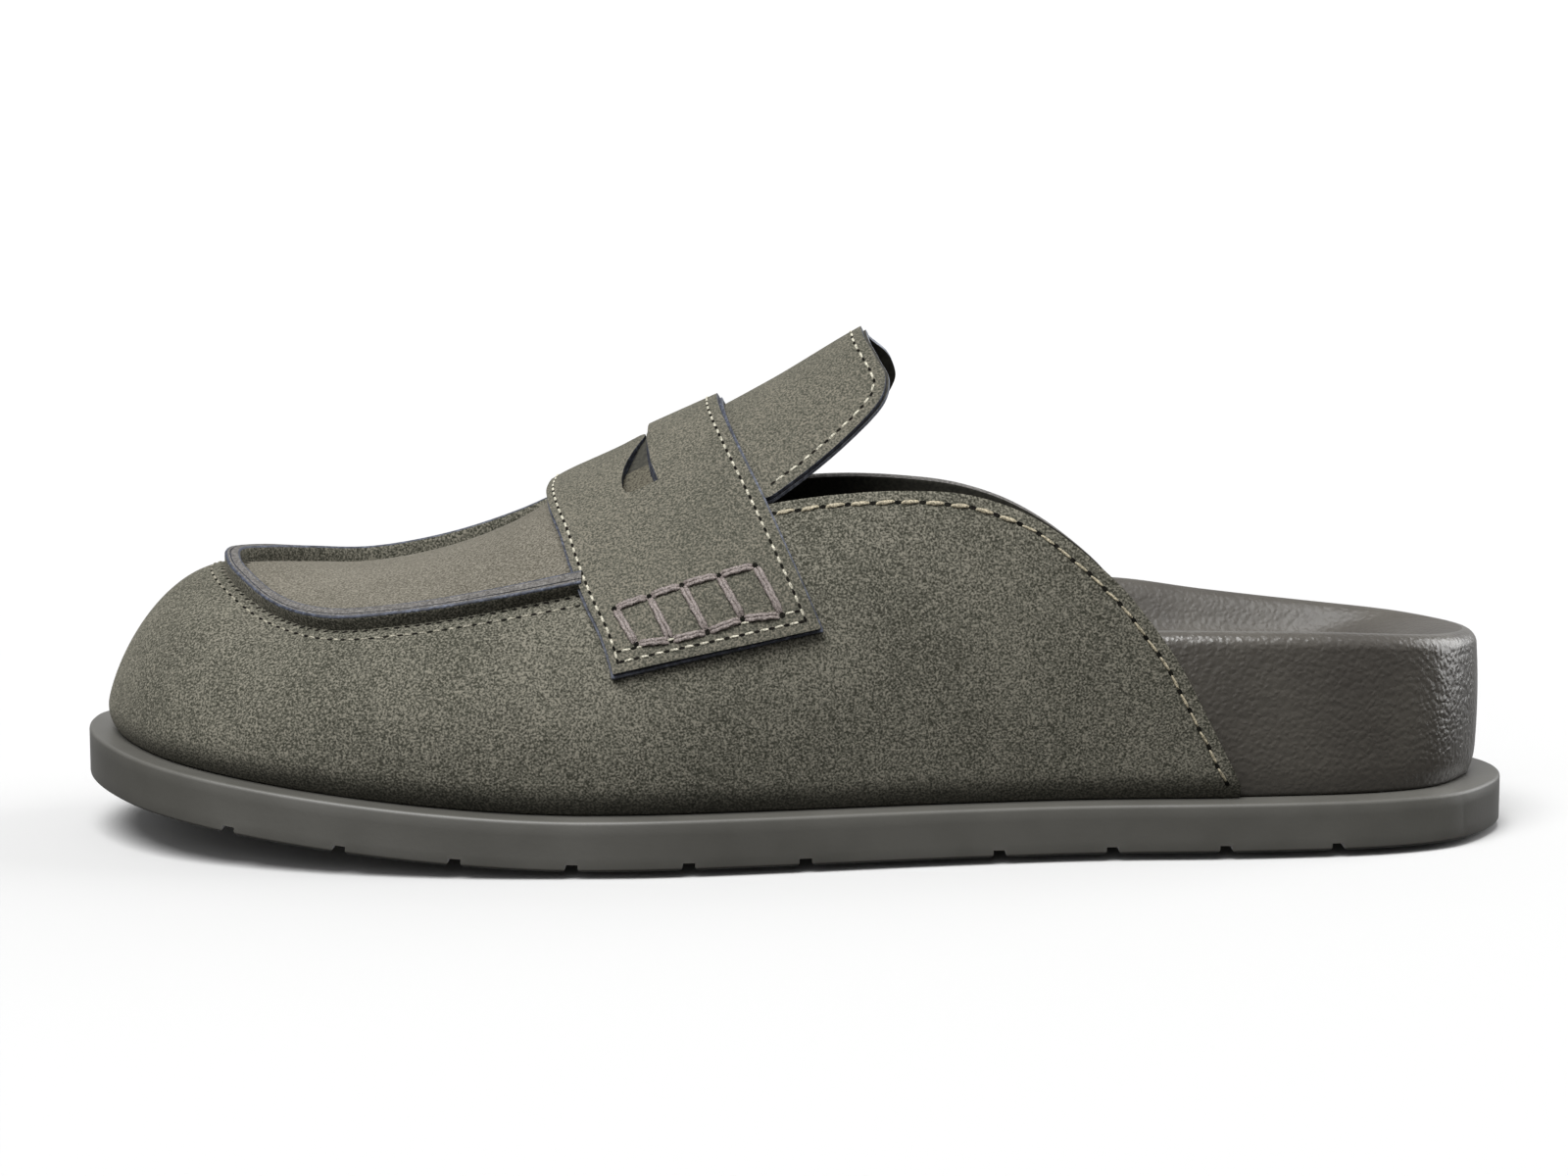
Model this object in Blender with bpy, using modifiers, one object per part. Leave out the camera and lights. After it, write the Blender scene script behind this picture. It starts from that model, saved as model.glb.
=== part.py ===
"""Platform mule: a left shoe with a moccasin toe, a penny strap and an open back.

The toe points along -X, the heel along +X, and the sole stands on Z = 0.
The lateral side of the foot is -Y and the medial side is +Y.
"""

import math

import bmesh
import bpy
from mathutils import Vector

MM = 0.001

# Driving sizes of the shoe
LENGTH = 290 * MM
BALL_WIDTH = 112 * MM
HEEL_WIDTH = 76 * MM
INSTEP_HEIGHT = 84 * MM
COLLAR_HEIGHT = 70 * MM
HEEL_RIM_HEIGHT = 42 * MM
SOLE_THICKNESS = 10.2 * MM
TOE_SPRING = 10.3 * MM

# Sizes of single pieces
LEDGE = 3.4 * MM
LEATHER = 1.9 * MM
STRAP_THICKNESS = 2.3 * MM
TONGUE_THICKNESS = 2.2 * MM
SEAM_HEIGHT = 2.7 * MM
SEAM_WIDTH = 3.4 * MM
SEAM_SEAT = 0.5 * MM
SOLE_TOP_ROUND = 0.8 * MM
SOLE_FOOT_ROUND = 2.0 * MM
GROOVE_WIDTH = 2.4 * MM
GROOVE_MOUTH = 3.2 * MM
GROOVE_DEPTH = 1.2 * MM
GROOVE_PITCH = 22.2 * MM
RIM_ROUND = 4.0 * MM
APRON_DROP = 0.9 * MM
CUP_RUN = 34 * MM
TOE_GAP = 1.0 * MM
SLOT_LENGTH = 34.0 * MM
SLOT_WIDTH = 7.9 * MM
CLEARANCE = 0.3 * MM

# Places along the length, as shares of it from the heel
SPRING_START = 0.638
UPPER_BACK = 0.203
COLLAR_FRONT = 0.517
THROAT_FRONT = 0.590
SEAM_END = 0.671
SLOT_PLACE = 0.610
FOREFOOT_GROOVE = 0.493
HEEL_GROOVE = 0.134

LATERAL = -1
MEDIAL = 1


def turn(share):
    """Angle of a place along the length, which opens the rounded toe and heel out evenly."""
    return math.acos(1 - 2 * share)


def ease(low, high, at):
    """Smooth step from 0 at low to 1 at high."""
    part = min(1, max(0, (at - low) / (high - low)))
    return part * part * (3 - 2 * part)


def mix(first, second, part):
    return first + (second - first) * part


class Table:
    """Rows with named columns, read as smooth curves over the first column."""

    def __init__(self, names, rows, knot=float):
        names = names.split()
        columns = dict(zip(names, zip(*rows)))
        self.knots = [knot(value) for value in columns[names[0]]]
        self.curves = {name: (columns[name], self.slopes(columns[name])) for name in names[1:]}

    def slopes(self, values):
        knots = self.knots
        steps = [b - a for a, b in zip(knots, knots[1:])]
        rates = [(b - a) / step for a, b, step in zip(values, values[1:], steps)]
        inner = [
            (rates[i] * steps[i + 1] + rates[i + 1] * steps[i]) / (steps[i] + steps[i + 1])
            for i in range(len(rates) - 1)
        ]
        return [2 * rates[0] - inner[0], *inner, 2 * rates[-1] - inner[-1]]

    def read(self, name, at):
        values, slopes = self.curves[name]
        last = len(self.knots) - 2
        i = 0
        while i < last and at > self.knots[i + 1]:
            i += 1
        step = self.knots[i + 1] - self.knots[i]
        t = min(1, max(0, (at - self.knots[i]) / step))
        rise = values[i] * (1 + 2 * t) * (1 - t) ** 2 + values[i + 1] * t * t * (3 - 2 * t)
        return rise + step * (slopes[i] * t * (1 - t) ** 2 - slopes[i + 1] * t * t * (1 - t))


# Sole outline: half widths to either side, as shares of the local width
OUTLINE = Table(
    "share lateral medial",
    [
        (0.000, -0.040, 0.040),
        (0.015, 0.164, 0.237),
        (0.050, 0.336, 0.395),
        (0.100, 0.428, 0.476),
        (0.160, 0.472, 0.508),
        (0.245, 0.500, 0.500),
        (0.340, 0.499, 0.437),
        (0.440, 0.486, 0.395),
        (0.530, 0.484, 0.420),
        (0.620, 0.494, 0.471),
        (0.700, 0.498, 0.498),
        (0.780, 0.478, 0.487),
        (0.860, 0.425, 0.427),
        (0.930, 0.330, 0.331),
        (0.975, 0.190, 0.222),
        (1.000, -0.045, 0.045),
    ],
    knot=turn,
)

# Cross sections of the last. in: how far the shoulder lies inside the feather line, as a share
# of the ball width; up: its height, as a share of the instep height; crown: the middle of the
# top, as a share of the ball width from the axis; top: its height, as a share of the instep.
LAST = Table(
    "share lateral_in lateral_up medial_in medial_up crown top",
    [
        (0.00, 0.020, 0.640, 0.020, 0.640, 0.027, 1.30),
        (0.15, 0.022, 0.670, 0.022, 0.670, 0.027, 1.30),
        (0.25, 0.026, 0.700, 0.024, 0.700, 0.036, 1.32),
        (0.33, 0.050, 0.750, 0.040, 0.760, 0.045, 1.31),
        (0.43, 0.096, 0.800, 0.078, 0.800, 0.050, 1.235),
        (0.52, 0.130, 0.745, 0.105, 0.820, 0.055, 1.06),
        (0.60, 0.160, 0.650, 0.143, 0.800, 0.062, 0.91),
        (0.655, 0.174, 0.602, 0.180, 0.742, 0.068, 0.806),
        (0.70, 0.163, 0.563, 0.174, 0.668, 0.070, 0.708),
        (0.76, 0.151, 0.514, 0.152, 0.588, 0.068, 0.617),
        (0.82, 0.154, 0.478, 0.146, 0.541, 0.064, 0.566),
        (0.88, 0.203, 0.479, 0.166, 0.537, 0.055, 0.556),
        (0.94, 0.224, 0.514, 0.190, 0.541, 0.045, 0.560),
        (1.00, 0.221, 0.541, 0.221, 0.541, 0.045, 0.562),
    ],
)

# Top line of the upper behind the strap to either side, as shares of the collar height
COLLAR = Table(
    "share lateral medial",
    [
        (0.200, 0.165, 0.165),
        (0.220, 0.352, 0.345),
        (0.243, 0.530, 0.510),
        (0.258, 0.620, 0.595),
        (0.276, 0.716, 0.684),
        (0.300, 0.812, 0.775),
        (0.3366, 0.922, 0.880),
        (0.377, 0.984, 0.945),
        (0.426, 1.000, 0.975),
        (0.470, 0.990, 0.978),
        (0.517, 0.962, 0.955),
    ],
)

# Footbed: its rim to either side and its floor, as shares of the heel rim height
FOOTBED = Table(
    "share lateral medial floor",
    [
        (0.00, 0.872, 0.872, 0.72),
        (0.06, 0.914, 0.914, 0.68),
        (0.13, 0.966, 0.975, 0.66),
        (0.20, 1.005, 1.030, 0.66),
        (0.27, 1.010, 1.095, 0.66),
        (0.40, 0.900, 1.060, 0.62),
        (0.50, 0.720, 0.830, 0.54),
        (0.62, 0.520, 0.540, 0.45),
        (0.80, 0.490, 0.490, 0.44),
        (1.00, 0.460, 0.460, 0.44),
    ],
)

# Strap: its lower edge as a share of the collar height, from its front edge (0) to its back (1)
STRAP_FOOT = Table("across height", [(0.0, 0.512), (0.5, 0.575), (1.0, 0.634)])

# Strap: front and back edges as shares of the length, from the lower edge (0) over the crown (1)
STRAP_EDGES = Table(
    "up front back",
    [
        (0.00, 0.6180, 0.4817),
        (0.10, 0.6250, 0.4920),
        (0.23, 0.6375, 0.5050),
        (0.39, 0.6490, 0.5190),
        (0.53, 0.6560, 0.5305),
        (0.69, 0.6640, 0.5415),
        (0.85, 0.6680, 0.5490),
        (1.00, 0.6670, 0.5510),
        (1.15, 0.6680, 0.5490),
    ],
)

# Tongue: back edge as a share of the length, from its corner at the collar (0) over the crown (1)
TONGUE_EDGE = Table(
    "up back",
    [
        (0.00, 0.5150),
        (0.08, 0.4920),
        (0.20, 0.4640),
        (0.34, 0.4400),
        (0.46, 0.4340),
        (0.60, 0.4410),
        (0.80, 0.4510),
        (1.00, 0.4540),
        (1.20, 0.4510),
    ],
)

# Slot in the strap: half of its outline from the middle (0) to its end (1). along: share of half
# the slot's length; across: share of the slot's width, forwards below zero
SLOT = [
    (0.00, -0.13),
    (0.45, -0.27),
    (0.76, -0.29),
    (1.00, -0.02),
    (1.00, 0.71),
    (0.70, 0.45),
    (0.40, 0.25),
    (0.00, 0.15),
]

TOE_CENTRE = LENGTH * (0.5 - 0.820)
HEEL_CENTRE = LENGTH * (0.5 - 0.130)
CENTRE_BLEND = 8 * MM
CENTRE_DRIFT = 0.3
WALL_BULGE = 2.0 * MM
SPRING_POWER = 1.5


def share_of(x):
    return min(1, max(0, 0.5 - x / LENGTH))


def local_width(share):
    return mix(HEEL_WIDTH, BALL_WIDTH, ease(0.25, 0.62, share))


def edge(side, angle, inset=0):
    """Plan point on the sole outline, or inside it by inset, at an angle from heel (0) to toe (pi)."""
    def point(at):
        share = (1 - math.cos(at)) / 2
        name = "lateral" if side == LATERAL else "medial"
        return Vector((LENGTH / 2 * math.cos(at), side * OUTLINE.read(name, at) * local_width(share)))

    step = 0.004
    if angle < step:
        along = Vector((0, side))
    elif angle > math.pi - step:
        along = Vector((0, -side))
    else:
        along = (point(angle + step) - point(angle - step)).normalized()
    outward = Vector((along.y, -along.x)) * side
    return point(angle) - outward * inset


def floor_rise(x):
    """Height of the sole's underside above the floor: flat, then the toe spring."""
    start = LENGTH * (0.5 - SPRING_START)
    part = max(0, (start - x) / (start + LENGTH / 2))
    return TOE_SPRING * part ** SPRING_POWER


def soft_floor(value):
    """Zero below, the value itself above, with a smooth bend between."""
    return CENTRE_BLEND * math.log(1 + math.exp(value / CENTRE_BLEND))


def section_centre(x):
    """Where the section from an edge point at x meets the spine; it fans out at toe and heel."""
    inside = 1 - CENTRE_DRIFT
    toe_part = inside * (soft_floor(x - TOE_CENTRE) - (x - TOE_CENTRE))
    heel_part = inside * (soft_floor(HEEL_CENTRE - x) - (HEEL_CENTRE - x))
    return x + toe_part - heel_part


def bend(points, count):
    """Points along the cubic curve with four control points."""
    a, b, c, d = points
    result = []
    for i in range(count + 1):
        t = i / count
        s = 1 - t
        result.append(a * s ** 3 + b * (3 * s * s * t) + c * (3 * s * t * t) + d * t ** 3)
    return result


class Section:
    """Outer line of the last from the feather line, over the shoulder, to the spine."""

    WALL_STEPS = 16
    TOP_STEPS = 12
    SHOULDER_PULL = 0.55
    CROWN_FULLNESS = 1.8

    def __init__(self, side, angle):
        share = (1 - math.cos(angle)) / 2
        name = "lateral" if side == LATERAL else "medial"
        foot = edge(side, angle, LEDGE)
        x = section_centre(edge(side, angle).x)
        centre = Vector((x, LAST.read("crown", share_of(x)) * BALL_WIDTH))
        reach = (centre - foot).length
        self.foot = foot
        self.inward = (centre - foot).normalized()
        low = SOLE_THICKNESS + CLEARANCE + floor_rise(foot.x)
        top = LAST.read("top", share_of(x)) * INSTEP_HEIGHT + floor_rise(x)
        inset = LAST.read(name + "_in", share) * BALL_WIDTH
        shoulder_x = foot.x + self.inward.x * inset
        shoulder = LAST.read(name + "_up", share) * INSTEP_HEIGHT + floor_rise(shoulder_x)
        slope = self.CROWN_FULLNESS * (top - shoulder) / (reach - inset)
        pull = self.SHOULDER_PULL * inset
        third = (reach - inset) / 3
        toe = ease(0.84, 0.98, share)
        wall = bend(
            [
                Vector((0, low)),
                Vector((-WALL_BULGE * (1 - toe), mix(low, shoulder, mix(0.5, 0.34, toe)))),
                Vector((inset - pull, shoulder - slope * pull)),
                Vector((inset, shoulder)),
            ],
            self.WALL_STEPS,
        )
        over = bend(
            [
                Vector((inset, shoulder)),
                Vector((inset + third, shoulder + slope * third)),
                Vector((reach - third, top)),
                Vector((reach, top)),
            ],
            self.TOP_STEPS,
        )
        drop = APRON_DROP * ease(0.63, 0.72, share_of(x))
        for i, point in enumerate(over):
            point.y -= drop * ease(0, 0.35, i / self.TOP_STEPS)
        self.line = wall + over[1:]
        self.lengths = [0]
        for a, b in zip(self.line, self.line[1:]):
            self.lengths.append(self.lengths[-1] + (b - a).length)
        self.shoulder_up = self.lengths[self.WALL_STEPS] / self.lengths[-1]

    def point(self, up):
        """Point at a share of the line from the feather line (0) to the spine (1)."""
        at = min(1, max(0, up)) * self.lengths[-1]
        i = 0
        while i < len(self.line) - 2 and at > self.lengths[i + 1]:
            i += 1
        part = (at - self.lengths[i]) / (self.lengths[i + 1] - self.lengths[i])
        flat = self.line[i].lerp(self.line[i + 1], part)
        plan = self.foot + self.inward * flat.x
        return Vector((plan.x, plan.y, flat.y))

    def up_at(self, height):
        """Share of the line at which it first reaches a height."""
        for i in range(len(self.line) - 1):
            low, high = self.line[i].y, self.line[i + 1].y
            if high >= height:
                part = max(0, (height - low) / (high - low))
                return mix(self.lengths[i], self.lengths[i + 1], part) / self.lengths[-1]
        return 1


SECTIONS = {}


def section(side, angle):
    key = (side, round(angle, 6))
    if key not in SECTIONS:
        SECTIONS[key] = Section(side, angle)
    return SECTIONS[key]


def skin(side, share, up, lift=0):
    """Point on the last's outer surface, lifted off it along its normal."""
    angle = turn(min(1, max(0, share)))
    here = section(side, angle).point(up)
    if lift == 0:
        return here
    step = 0.01
    before = section(side, max(0, angle - step)).point(up)
    after = section(side, min(math.pi, angle + step)).point(up)
    low = section(side, angle).point(up - step)
    high = section(side, angle).point(up + step)
    if angle + step > math.pi:
        after = section(-side, math.pi - step).point(up)
        before = section(side, math.pi - step).point(up)
    if up + step > 1:
        high = section(-side, angle).point(1 - step)
        low = section(side, angle).point(1 - step)
    normal = (after - before).cross(high - low).normalized() * side
    return here + normal * lift


def collar_up(side, share):
    """Top of the upper's wall: the collar, then the round throat that the strap hides."""
    if share <= COLLAR_FRONT:
        height = COLLAR.read("lateral" if side == LATERAL else "medial", share) * COLLAR_HEIGHT
        return section(side, turn(share)).up_at(height)
    if share >= THROAT_FRONT:
        return 1
    low = collar_up(side, COLLAR_FRONT)
    part = (share - COLLAR_FRONT) / (THROAT_FRONT - COLLAR_FRONT)
    return 1 - (1 - low) * math.sqrt(1 - part * part)


def material(name, colour, roughness):
    made = bpy.data.materials.new(name)
    made.use_nodes = True
    shader = made.node_tree.nodes["Principled BSDF"]
    shader.inputs["Base Color"].default_value = (*colour, 1)
    shader.inputs["Roughness"].default_value = roughness
    shader.inputs["Metallic"].default_value = 0
    made.diffuse_color = (*colour, 1)
    return made


def add_object(name, mesh, finish, collection):
    """Put a mesh into the scene as a named, smooth-shaded object with its own material."""
    made = bpy.data.objects.new(name, mesh)
    collection.objects.link(made)
    mesh.materials.append(finish)
    mesh.shade_smooth()
    mesh.set_sharp_from_angle(angle=math.radians(40))
    return made


def new_collection(name):
    made = bpy.data.collections.new(name)
    bpy.context.scene.collection.children.link(made)
    return made


def add_grid(bm, rows):
    """Add a surface through rows of points; equal neighbours are welded later."""
    made = [[bm.verts.new(point) for point in row] for row in rows]
    for row, following in zip(made, made[1:]):
        for a, b, c, d in zip(row, row[1:], following[1:], following):
            bm.faces.new((a, b, c, d))


def finish_mesh(name, bm):
    bmesh.ops.remove_doubles(bm, verts=bm.verts, dist=0.02 * MM)
    loose = [face for face in bm.faces if face.calc_area() < 1e-12]
    bmesh.ops.delete(bm, geom=loose, context="FACES")
    bmesh.ops.recalc_face_normals(bm, faces=bm.faces)
    mesh = bpy.data.meshes.new(name)
    bm.to_mesh(mesh)
    bm.free()
    return mesh


def loop_stations(count):
    """Sides and angles once around the outline, from the heel along the lateral side."""
    lateral = [(LATERAL, math.pi * i / count) for i in range(count + 1)]
    medial = [(MEDIAL, math.pi * i / count) for i in range(count - 1, -1, -1)]
    return lateral + medial


def fill_between(bm, loop, height=None, steps=1):
    """Close a loop of points with strips between its lateral and medial halves."""
    half = len(loop) // 2
    rows = []
    for i in range(half + 1):
        lateral, medial = loop[i], loop[len(loop) - 1 - i]
        row = [lateral.lerp(medial, j / steps) for j in range(steps + 1)]
        if height:
            row = [height(point, j / steps) for j, point in enumerate(row)]
        rows.append(row)
    add_grid(bm, rows)


def build_outsole(collection):
    """Flat platform sole with a toe spring, rounded edges and grooves cut across its foot."""
    stations = loop_stations(44)
    profile = [
        (SOLE_FOOT_ROUND, 0),
        (SOLE_FOOT_ROUND * 0.3, SOLE_FOOT_ROUND * 0.3),
        (0, SOLE_FOOT_ROUND),
        (0, SOLE_THICKNESS - SOLE_TOP_ROUND),
        (SOLE_TOP_ROUND * 0.3, SOLE_THICKNESS - SOLE_TOP_ROUND * 0.3),
        (SOLE_TOP_ROUND, SOLE_THICKNESS),
    ]

    def ring(inset, height):
        points = []
        for side, angle in stations:
            plan = edge(side, angle, inset)
            points.append(Vector((plan.x, plan.y, height + floor_rise(plan.x))))
        return points

    rings = [ring(inset, height) for inset, height in profile]
    bm = bmesh.new()
    add_grid(bm, rings)
    fill_between(bm, rings[0])
    fill_between(bm, rings[-1])
    finish = material("moulded_rubber", (0.098, 0.098, 0.079), 0.55)
    sole = add_object("outsole", finish_mesh("outsole", bm), finish, collection)
    cut_grooves(sole)
    return sole


def groove_places():
    forefoot = LENGTH * (0.5 - FOREFOOT_GROOVE)
    heel = LENGTH * (0.5 - HEEL_GROOVE)
    return [forefoot - GROOVE_PITCH * i for i in range(6)] + [heel - GROOVE_PITCH * i for i in range(4)]


def cut_grooves(sole):
    """Cut the grooves that run across the sole, flared at the mouth, square to its underside."""
    bm = bmesh.new()
    for x in groove_places():
        step = 1 * MM
        slope = math.atan2(floor_rise(x + step) - floor_rise(x - step), 2 * step)
        rows = []
        for across, down in (
            (-GROOVE_MOUTH, -GROOVE_DEPTH),
            (-GROOVE_MOUTH * 0.5, 0),
            (-GROOVE_WIDTH * 0.5, GROOVE_DEPTH * 0.4),
            (-GROOVE_WIDTH * 0.5, GROOVE_DEPTH),
            (GROOVE_WIDTH * 0.5, GROOVE_DEPTH),
            (GROOVE_WIDTH * 0.5, GROOVE_DEPTH * 0.4),
            (GROOVE_MOUTH * 0.5, 0),
            (GROOVE_MOUTH, -GROOVE_DEPTH),
        ):
            turned_x = x + across * math.cos(slope) - down * math.sin(slope)
            turned_z = floor_rise(x) + across * math.sin(slope) + down * math.cos(slope)
            rows.append([Vector((turned_x, y, turned_z)) for y in (-BALL_WIDTH, BALL_WIDTH)])
        made = [[bm.verts.new(point) for point in row] for row in rows]
        for row, following in zip(made, made[1:] + made[:1]):
            bm.faces.new((row[0], row[1], following[1], following[0]))
        bm.faces.new([row[0] for row in made])
        bm.faces.new([row[1] for row in made])
    cutter = bpy.data.objects.new("groove_cutter", finish_mesh("groove_cutter", bm))
    use_cutter(sole, cutter)


def use_cutter(target, cutter):
    bpy.data.collections["cutters"].objects.link(cutter)
    cutter.hide_render = True
    cutter.display_type = "WIRE"
    cut = target.modifiers.new("cut", "BOOLEAN")
    cut.operation = "DIFFERENCE"
    cut.solver = "EXACT"
    cut.object = cutter


def build_footbed(collection):
    """Moulded footbed: a wrapped block that stands on the sole, with a cupped heel."""
    stations = loop_stations(44)

    def rim_height(side, angle, x):
        name = "lateral" if side == LATERAL else "medial"
        share = (1 - math.cos(angle)) / 2
        return FOOTBED.read(name, share) * HEEL_RIM_HEIGHT + floor_rise(x)

    def wall_point(side, angle, part):
        cut = section(side, angle)
        low = SOLE_THICKNESS + CLEARANCE + floor_rise(cut.foot.x)
        high = rim_height(side, angle, cut.foot.x) - RIM_ROUND
        point = cut.point(cut.up_at(mix(low, high, part)))
        inward = Vector((cut.inward.x, cut.inward.y, 0))
        share = (1 - math.cos(angle)) / 2
        wall_gap = LEATHER + mix(CLEARANCE, TOE_GAP, ease(0.65, 0.95, share))
        return point + inward * wall_gap, inward

    rings = [[wall_point(side, angle, part)[0] for side, angle in stations] for part in (0, 0.35, 0.7, 1)]
    for turned in (30, 60, 90):
        ring = []
        for side, angle in stations:
            top, inward = wall_point(side, angle, 1)
            lean = RIM_ROUND * (1 - math.cos(math.radians(turned)))
            rise = RIM_ROUND * math.sin(math.radians(turned))
            ring.append(top + inward * lean + Vector((0, 0, rise)))
        rings.append(ring)

    back = rings[-1][0].x
    front = rings[-1][len(stations) // 2].x

    def cup(point, across):
        floor = FOOTBED.read("floor", share_of(point.x)) * HEEL_RIM_HEIGHT + floor_rise(point.x)
        deep = 1 - abs(2 * across - 1) ** 2.6
        deep *= ease(0, CUP_RUN, back - point.x) * ease(0, CUP_RUN, point.x - front)
        return Vector((point.x, point.y, mix(point.z, floor, deep)))

    bm = bmesh.new()
    add_grid(bm, rings)
    fill_between(bm, rings[0])
    fill_between(bm, rings[-1], cup, 10)
    finish = material("wrapped_footbed", (0.108, 0.102, 0.088), 0.5)
    return add_object("footbed", finish_mesh("footbed", bm), finish, collection)


def upper_shares():
    """Shares of the length at which the upper's wall has a column, from its back to the toe."""
    steep = [mix(UPPER_BACK, 0.30, i / 8) for i in range(8)]
    middle = [mix(0.30, COLLAR_FRONT, i / 7) for i in range(7)]
    throat = [mix(COLLAR_FRONT, THROAT_FRONT, math.sin(math.pi / 2 * i / 6)) for i in range(6)]
    first, last = turn(THROAT_FRONT), math.pi
    front = [(1 - math.cos(mix(first, last, i / 21))) / 2 for i in range(22)]
    return steep + middle + throat + front


def build_upper(collection):
    """Vamp, quarters and apron as one hollow wall, open at the back, collar and underneath."""
    wall_rows = 9
    top_rows = 6
    bm = bmesh.new()
    for side in (LATERAL, MEDIAL):
        rows = []
        for share in upper_shares():
            cut = section(side, turn(share))
            end = collar_up(side, share)
            bend_at = min(cut.shoulder_up, end * 0.62) if end < 1 else cut.shoulder_up
            ups = [mix(0, bend_at, i / wall_rows) for i in range(wall_rows)]
            ups += [mix(bend_at, end, i / top_rows) for i in range(top_rows + 1)]
            rows.append([cut.point(up) for up in ups])
        add_grid(bm, rows)
    mesh = finish_mesh("upper", bm)
    finish = material("nubuck", (0.130, 0.127, 0.105), 0.9)
    upper = add_object("upper", mesh, finish, collection)
    wall = upper.modifiers.new("wall", "SOLIDIFY")
    wall.thickness = LEATHER
    wall.offset = -1
    wall.use_even_offset = True
    return upper


def build_seam(collection):
    """Raised moccasin seam: two raw edges that stand up around the apron."""
    first = turn(SEAM_END)
    count = 26
    angles = [mix(first, math.pi, i / count) for i in range(count + 1)]
    path = [(LATERAL, angle) for angle in angles] + [(MEDIAL, angle) for angle in reversed(angles[:-1])]
    rings = []
    for side, angle in path:
        cut = section(side, angle)
        share = (1 - math.cos(angle)) / 2
        half = SEAM_WIDTH / 2 / cut.lengths[-1]
        ring = []
        for across, lift in ((-1, 0), (-0.9, 1), (0.9, 1), (1, 0)):
            up = cut.shoulder_up + half * across
            ring.append(skin(side, share, up, SEAM_SEAT + SEAM_HEIGHT * lift))
        rings.append(ring)
    bm = bmesh.new()
    made = [[bm.verts.new(point) for point in ring] for ring in rings]
    for ring, following in zip(made, made[1:]):
        for i in range(4):
            j = (i + 1) % 4
            bm.faces.new((ring[i], ring[j], following[j], following[i]))
    bm.faces.new(made[0])
    bm.faces.new(made[-1])
    finish = material("raw_leather_edge", (0.075, 0.080, 0.090), 0.8)
    return add_object("moccasin_seam", finish_mesh("moccasin_seam", bm), finish, collection)


def strap_place(side, across, up):
    """Share of the length and share of the last's line for a place on the strap."""
    share = mix(STRAP_EDGES.read("front", up), STRAP_EDGES.read("back", up), across)
    foot = section(side, turn(share)).up_at(STRAP_FOOT.read("height", across) * COLLAR_HEIGHT)
    return share, mix(foot, 1, up)


def build_strap(collection):
    """Penny strap that saddles the instep, with the slot cut through its crown."""
    across_steps, up_steps = 12, 14
    bm = bmesh.new()
    for side in (LATERAL, MEDIAL):
        rows = []
        for i in range(across_steps + 1):
            row = []
            for j in range(up_steps + 1):
                share, up = strap_place(side, i / across_steps, j / up_steps)
                row.append(skin(side, share, up, CLEARANCE))
            rows.append(row)
        add_grid(bm, rows)
    mesh = finish_mesh("penny_strap", bm)
    finish = material("nubuck_strap", (0.128, 0.125, 0.103), 0.9)
    strap = add_object("penny_strap", mesh, finish, collection)
    body = strap.modifiers.new("body", "SOLIDIFY")
    body.thickness = STRAP_THICKNESS
    body.offset = 1
    body.use_even_offset = True
    cut_slot(strap)
    return strap


def cut_slot(strap):
    """Cut the penny slot: narrow at its waist and wide at both ends, straight down."""
    x = LENGTH * (0.5 - SLOT_PLACE)
    middle = LAST.read("crown", SLOT_PLACE) * BALL_WIDTH
    half = [(x + across * SLOT_WIDTH, along * SLOT_LENGTH / 2) for along, across in SLOT]
    outline = [(px, middle + py) for px, py in half] + [(px, middle - py) for px, py in half[-2:0:-1]]
    bm = bmesh.new()
    low, high = INSTEP_HEIGHT * 0.5, INSTEP_HEIGHT * 1.3
    base = bm.faces.new([bm.verts.new((px, py, low)) for px, py in outline])
    raised = bmesh.ops.extrude_face_region(bm, geom=[base])["geom"]
    corners = [item for item in raised if isinstance(item, bmesh.types.BMVert)]
    bmesh.ops.translate(bm, verts=corners, vec=(0, 0, high - low))
    cutter = bpy.data.objects.new("slot_cutter", finish_mesh("slot_cutter", bm))
    use_cutter(strap, cutter)


def build_tongue(collection):
    """Tongue: the arched flap that carries the last's surface on behind the strap."""
    across_steps, up_steps = 10, 12
    bm = bmesh.new()
    for side in (LATERAL, MEDIAL):
        low = collar_up(side, COLLAR_FRONT)
        rows = []
        for j in range(up_steps + 1):
            part = j / up_steps
            up = mix(low, 1, mix(0.04, 1, part))
            ahead = math.sqrt(1 - ((1 - up) / (1 - low)) ** 2)
            front = mix(COLLAR_FRONT, THROAT_FRONT, ahead) - 2 * CLEARANCE / LENGTH
            back = TONGUE_EDGE.read("back", part)
            rows.append([skin(side, mix(front, back, i / across_steps), up) for i in range(across_steps + 1)])
        add_grid(bm, rows)
    mesh = finish_mesh("tongue", bm)
    finish = material("nubuck_tongue", (0.126, 0.123, 0.101), 0.9)
    tongue = add_object("tongue", mesh, finish, collection)
    body = tongue.modifiers.new("body", "SOLIDIFY")
    body.thickness = TONGUE_THICKNESS
    body.offset = -1
    body.use_even_offset = True
    return tongue


def main():
    for old in list(bpy.data.objects):
        bpy.data.objects.remove(old)
    shoe = new_collection("platform_mule")
    new_collection("cutters")
    build_outsole(shoe)
    build_footbed(shoe)
    build_upper(shoe)
    build_seam(shoe)
    build_strap(shoe)
    build_tongue(shoe)


main()
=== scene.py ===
"""Looks of the platform mule: nubuck leather, seams, stitches, footbed and sole, in the part's frame."""
import math
import random
from functools import partial

import bmesh
import bpy
from mathutils import Matrix, Vector
from mathutils.bvhtree import BVHTree


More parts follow.
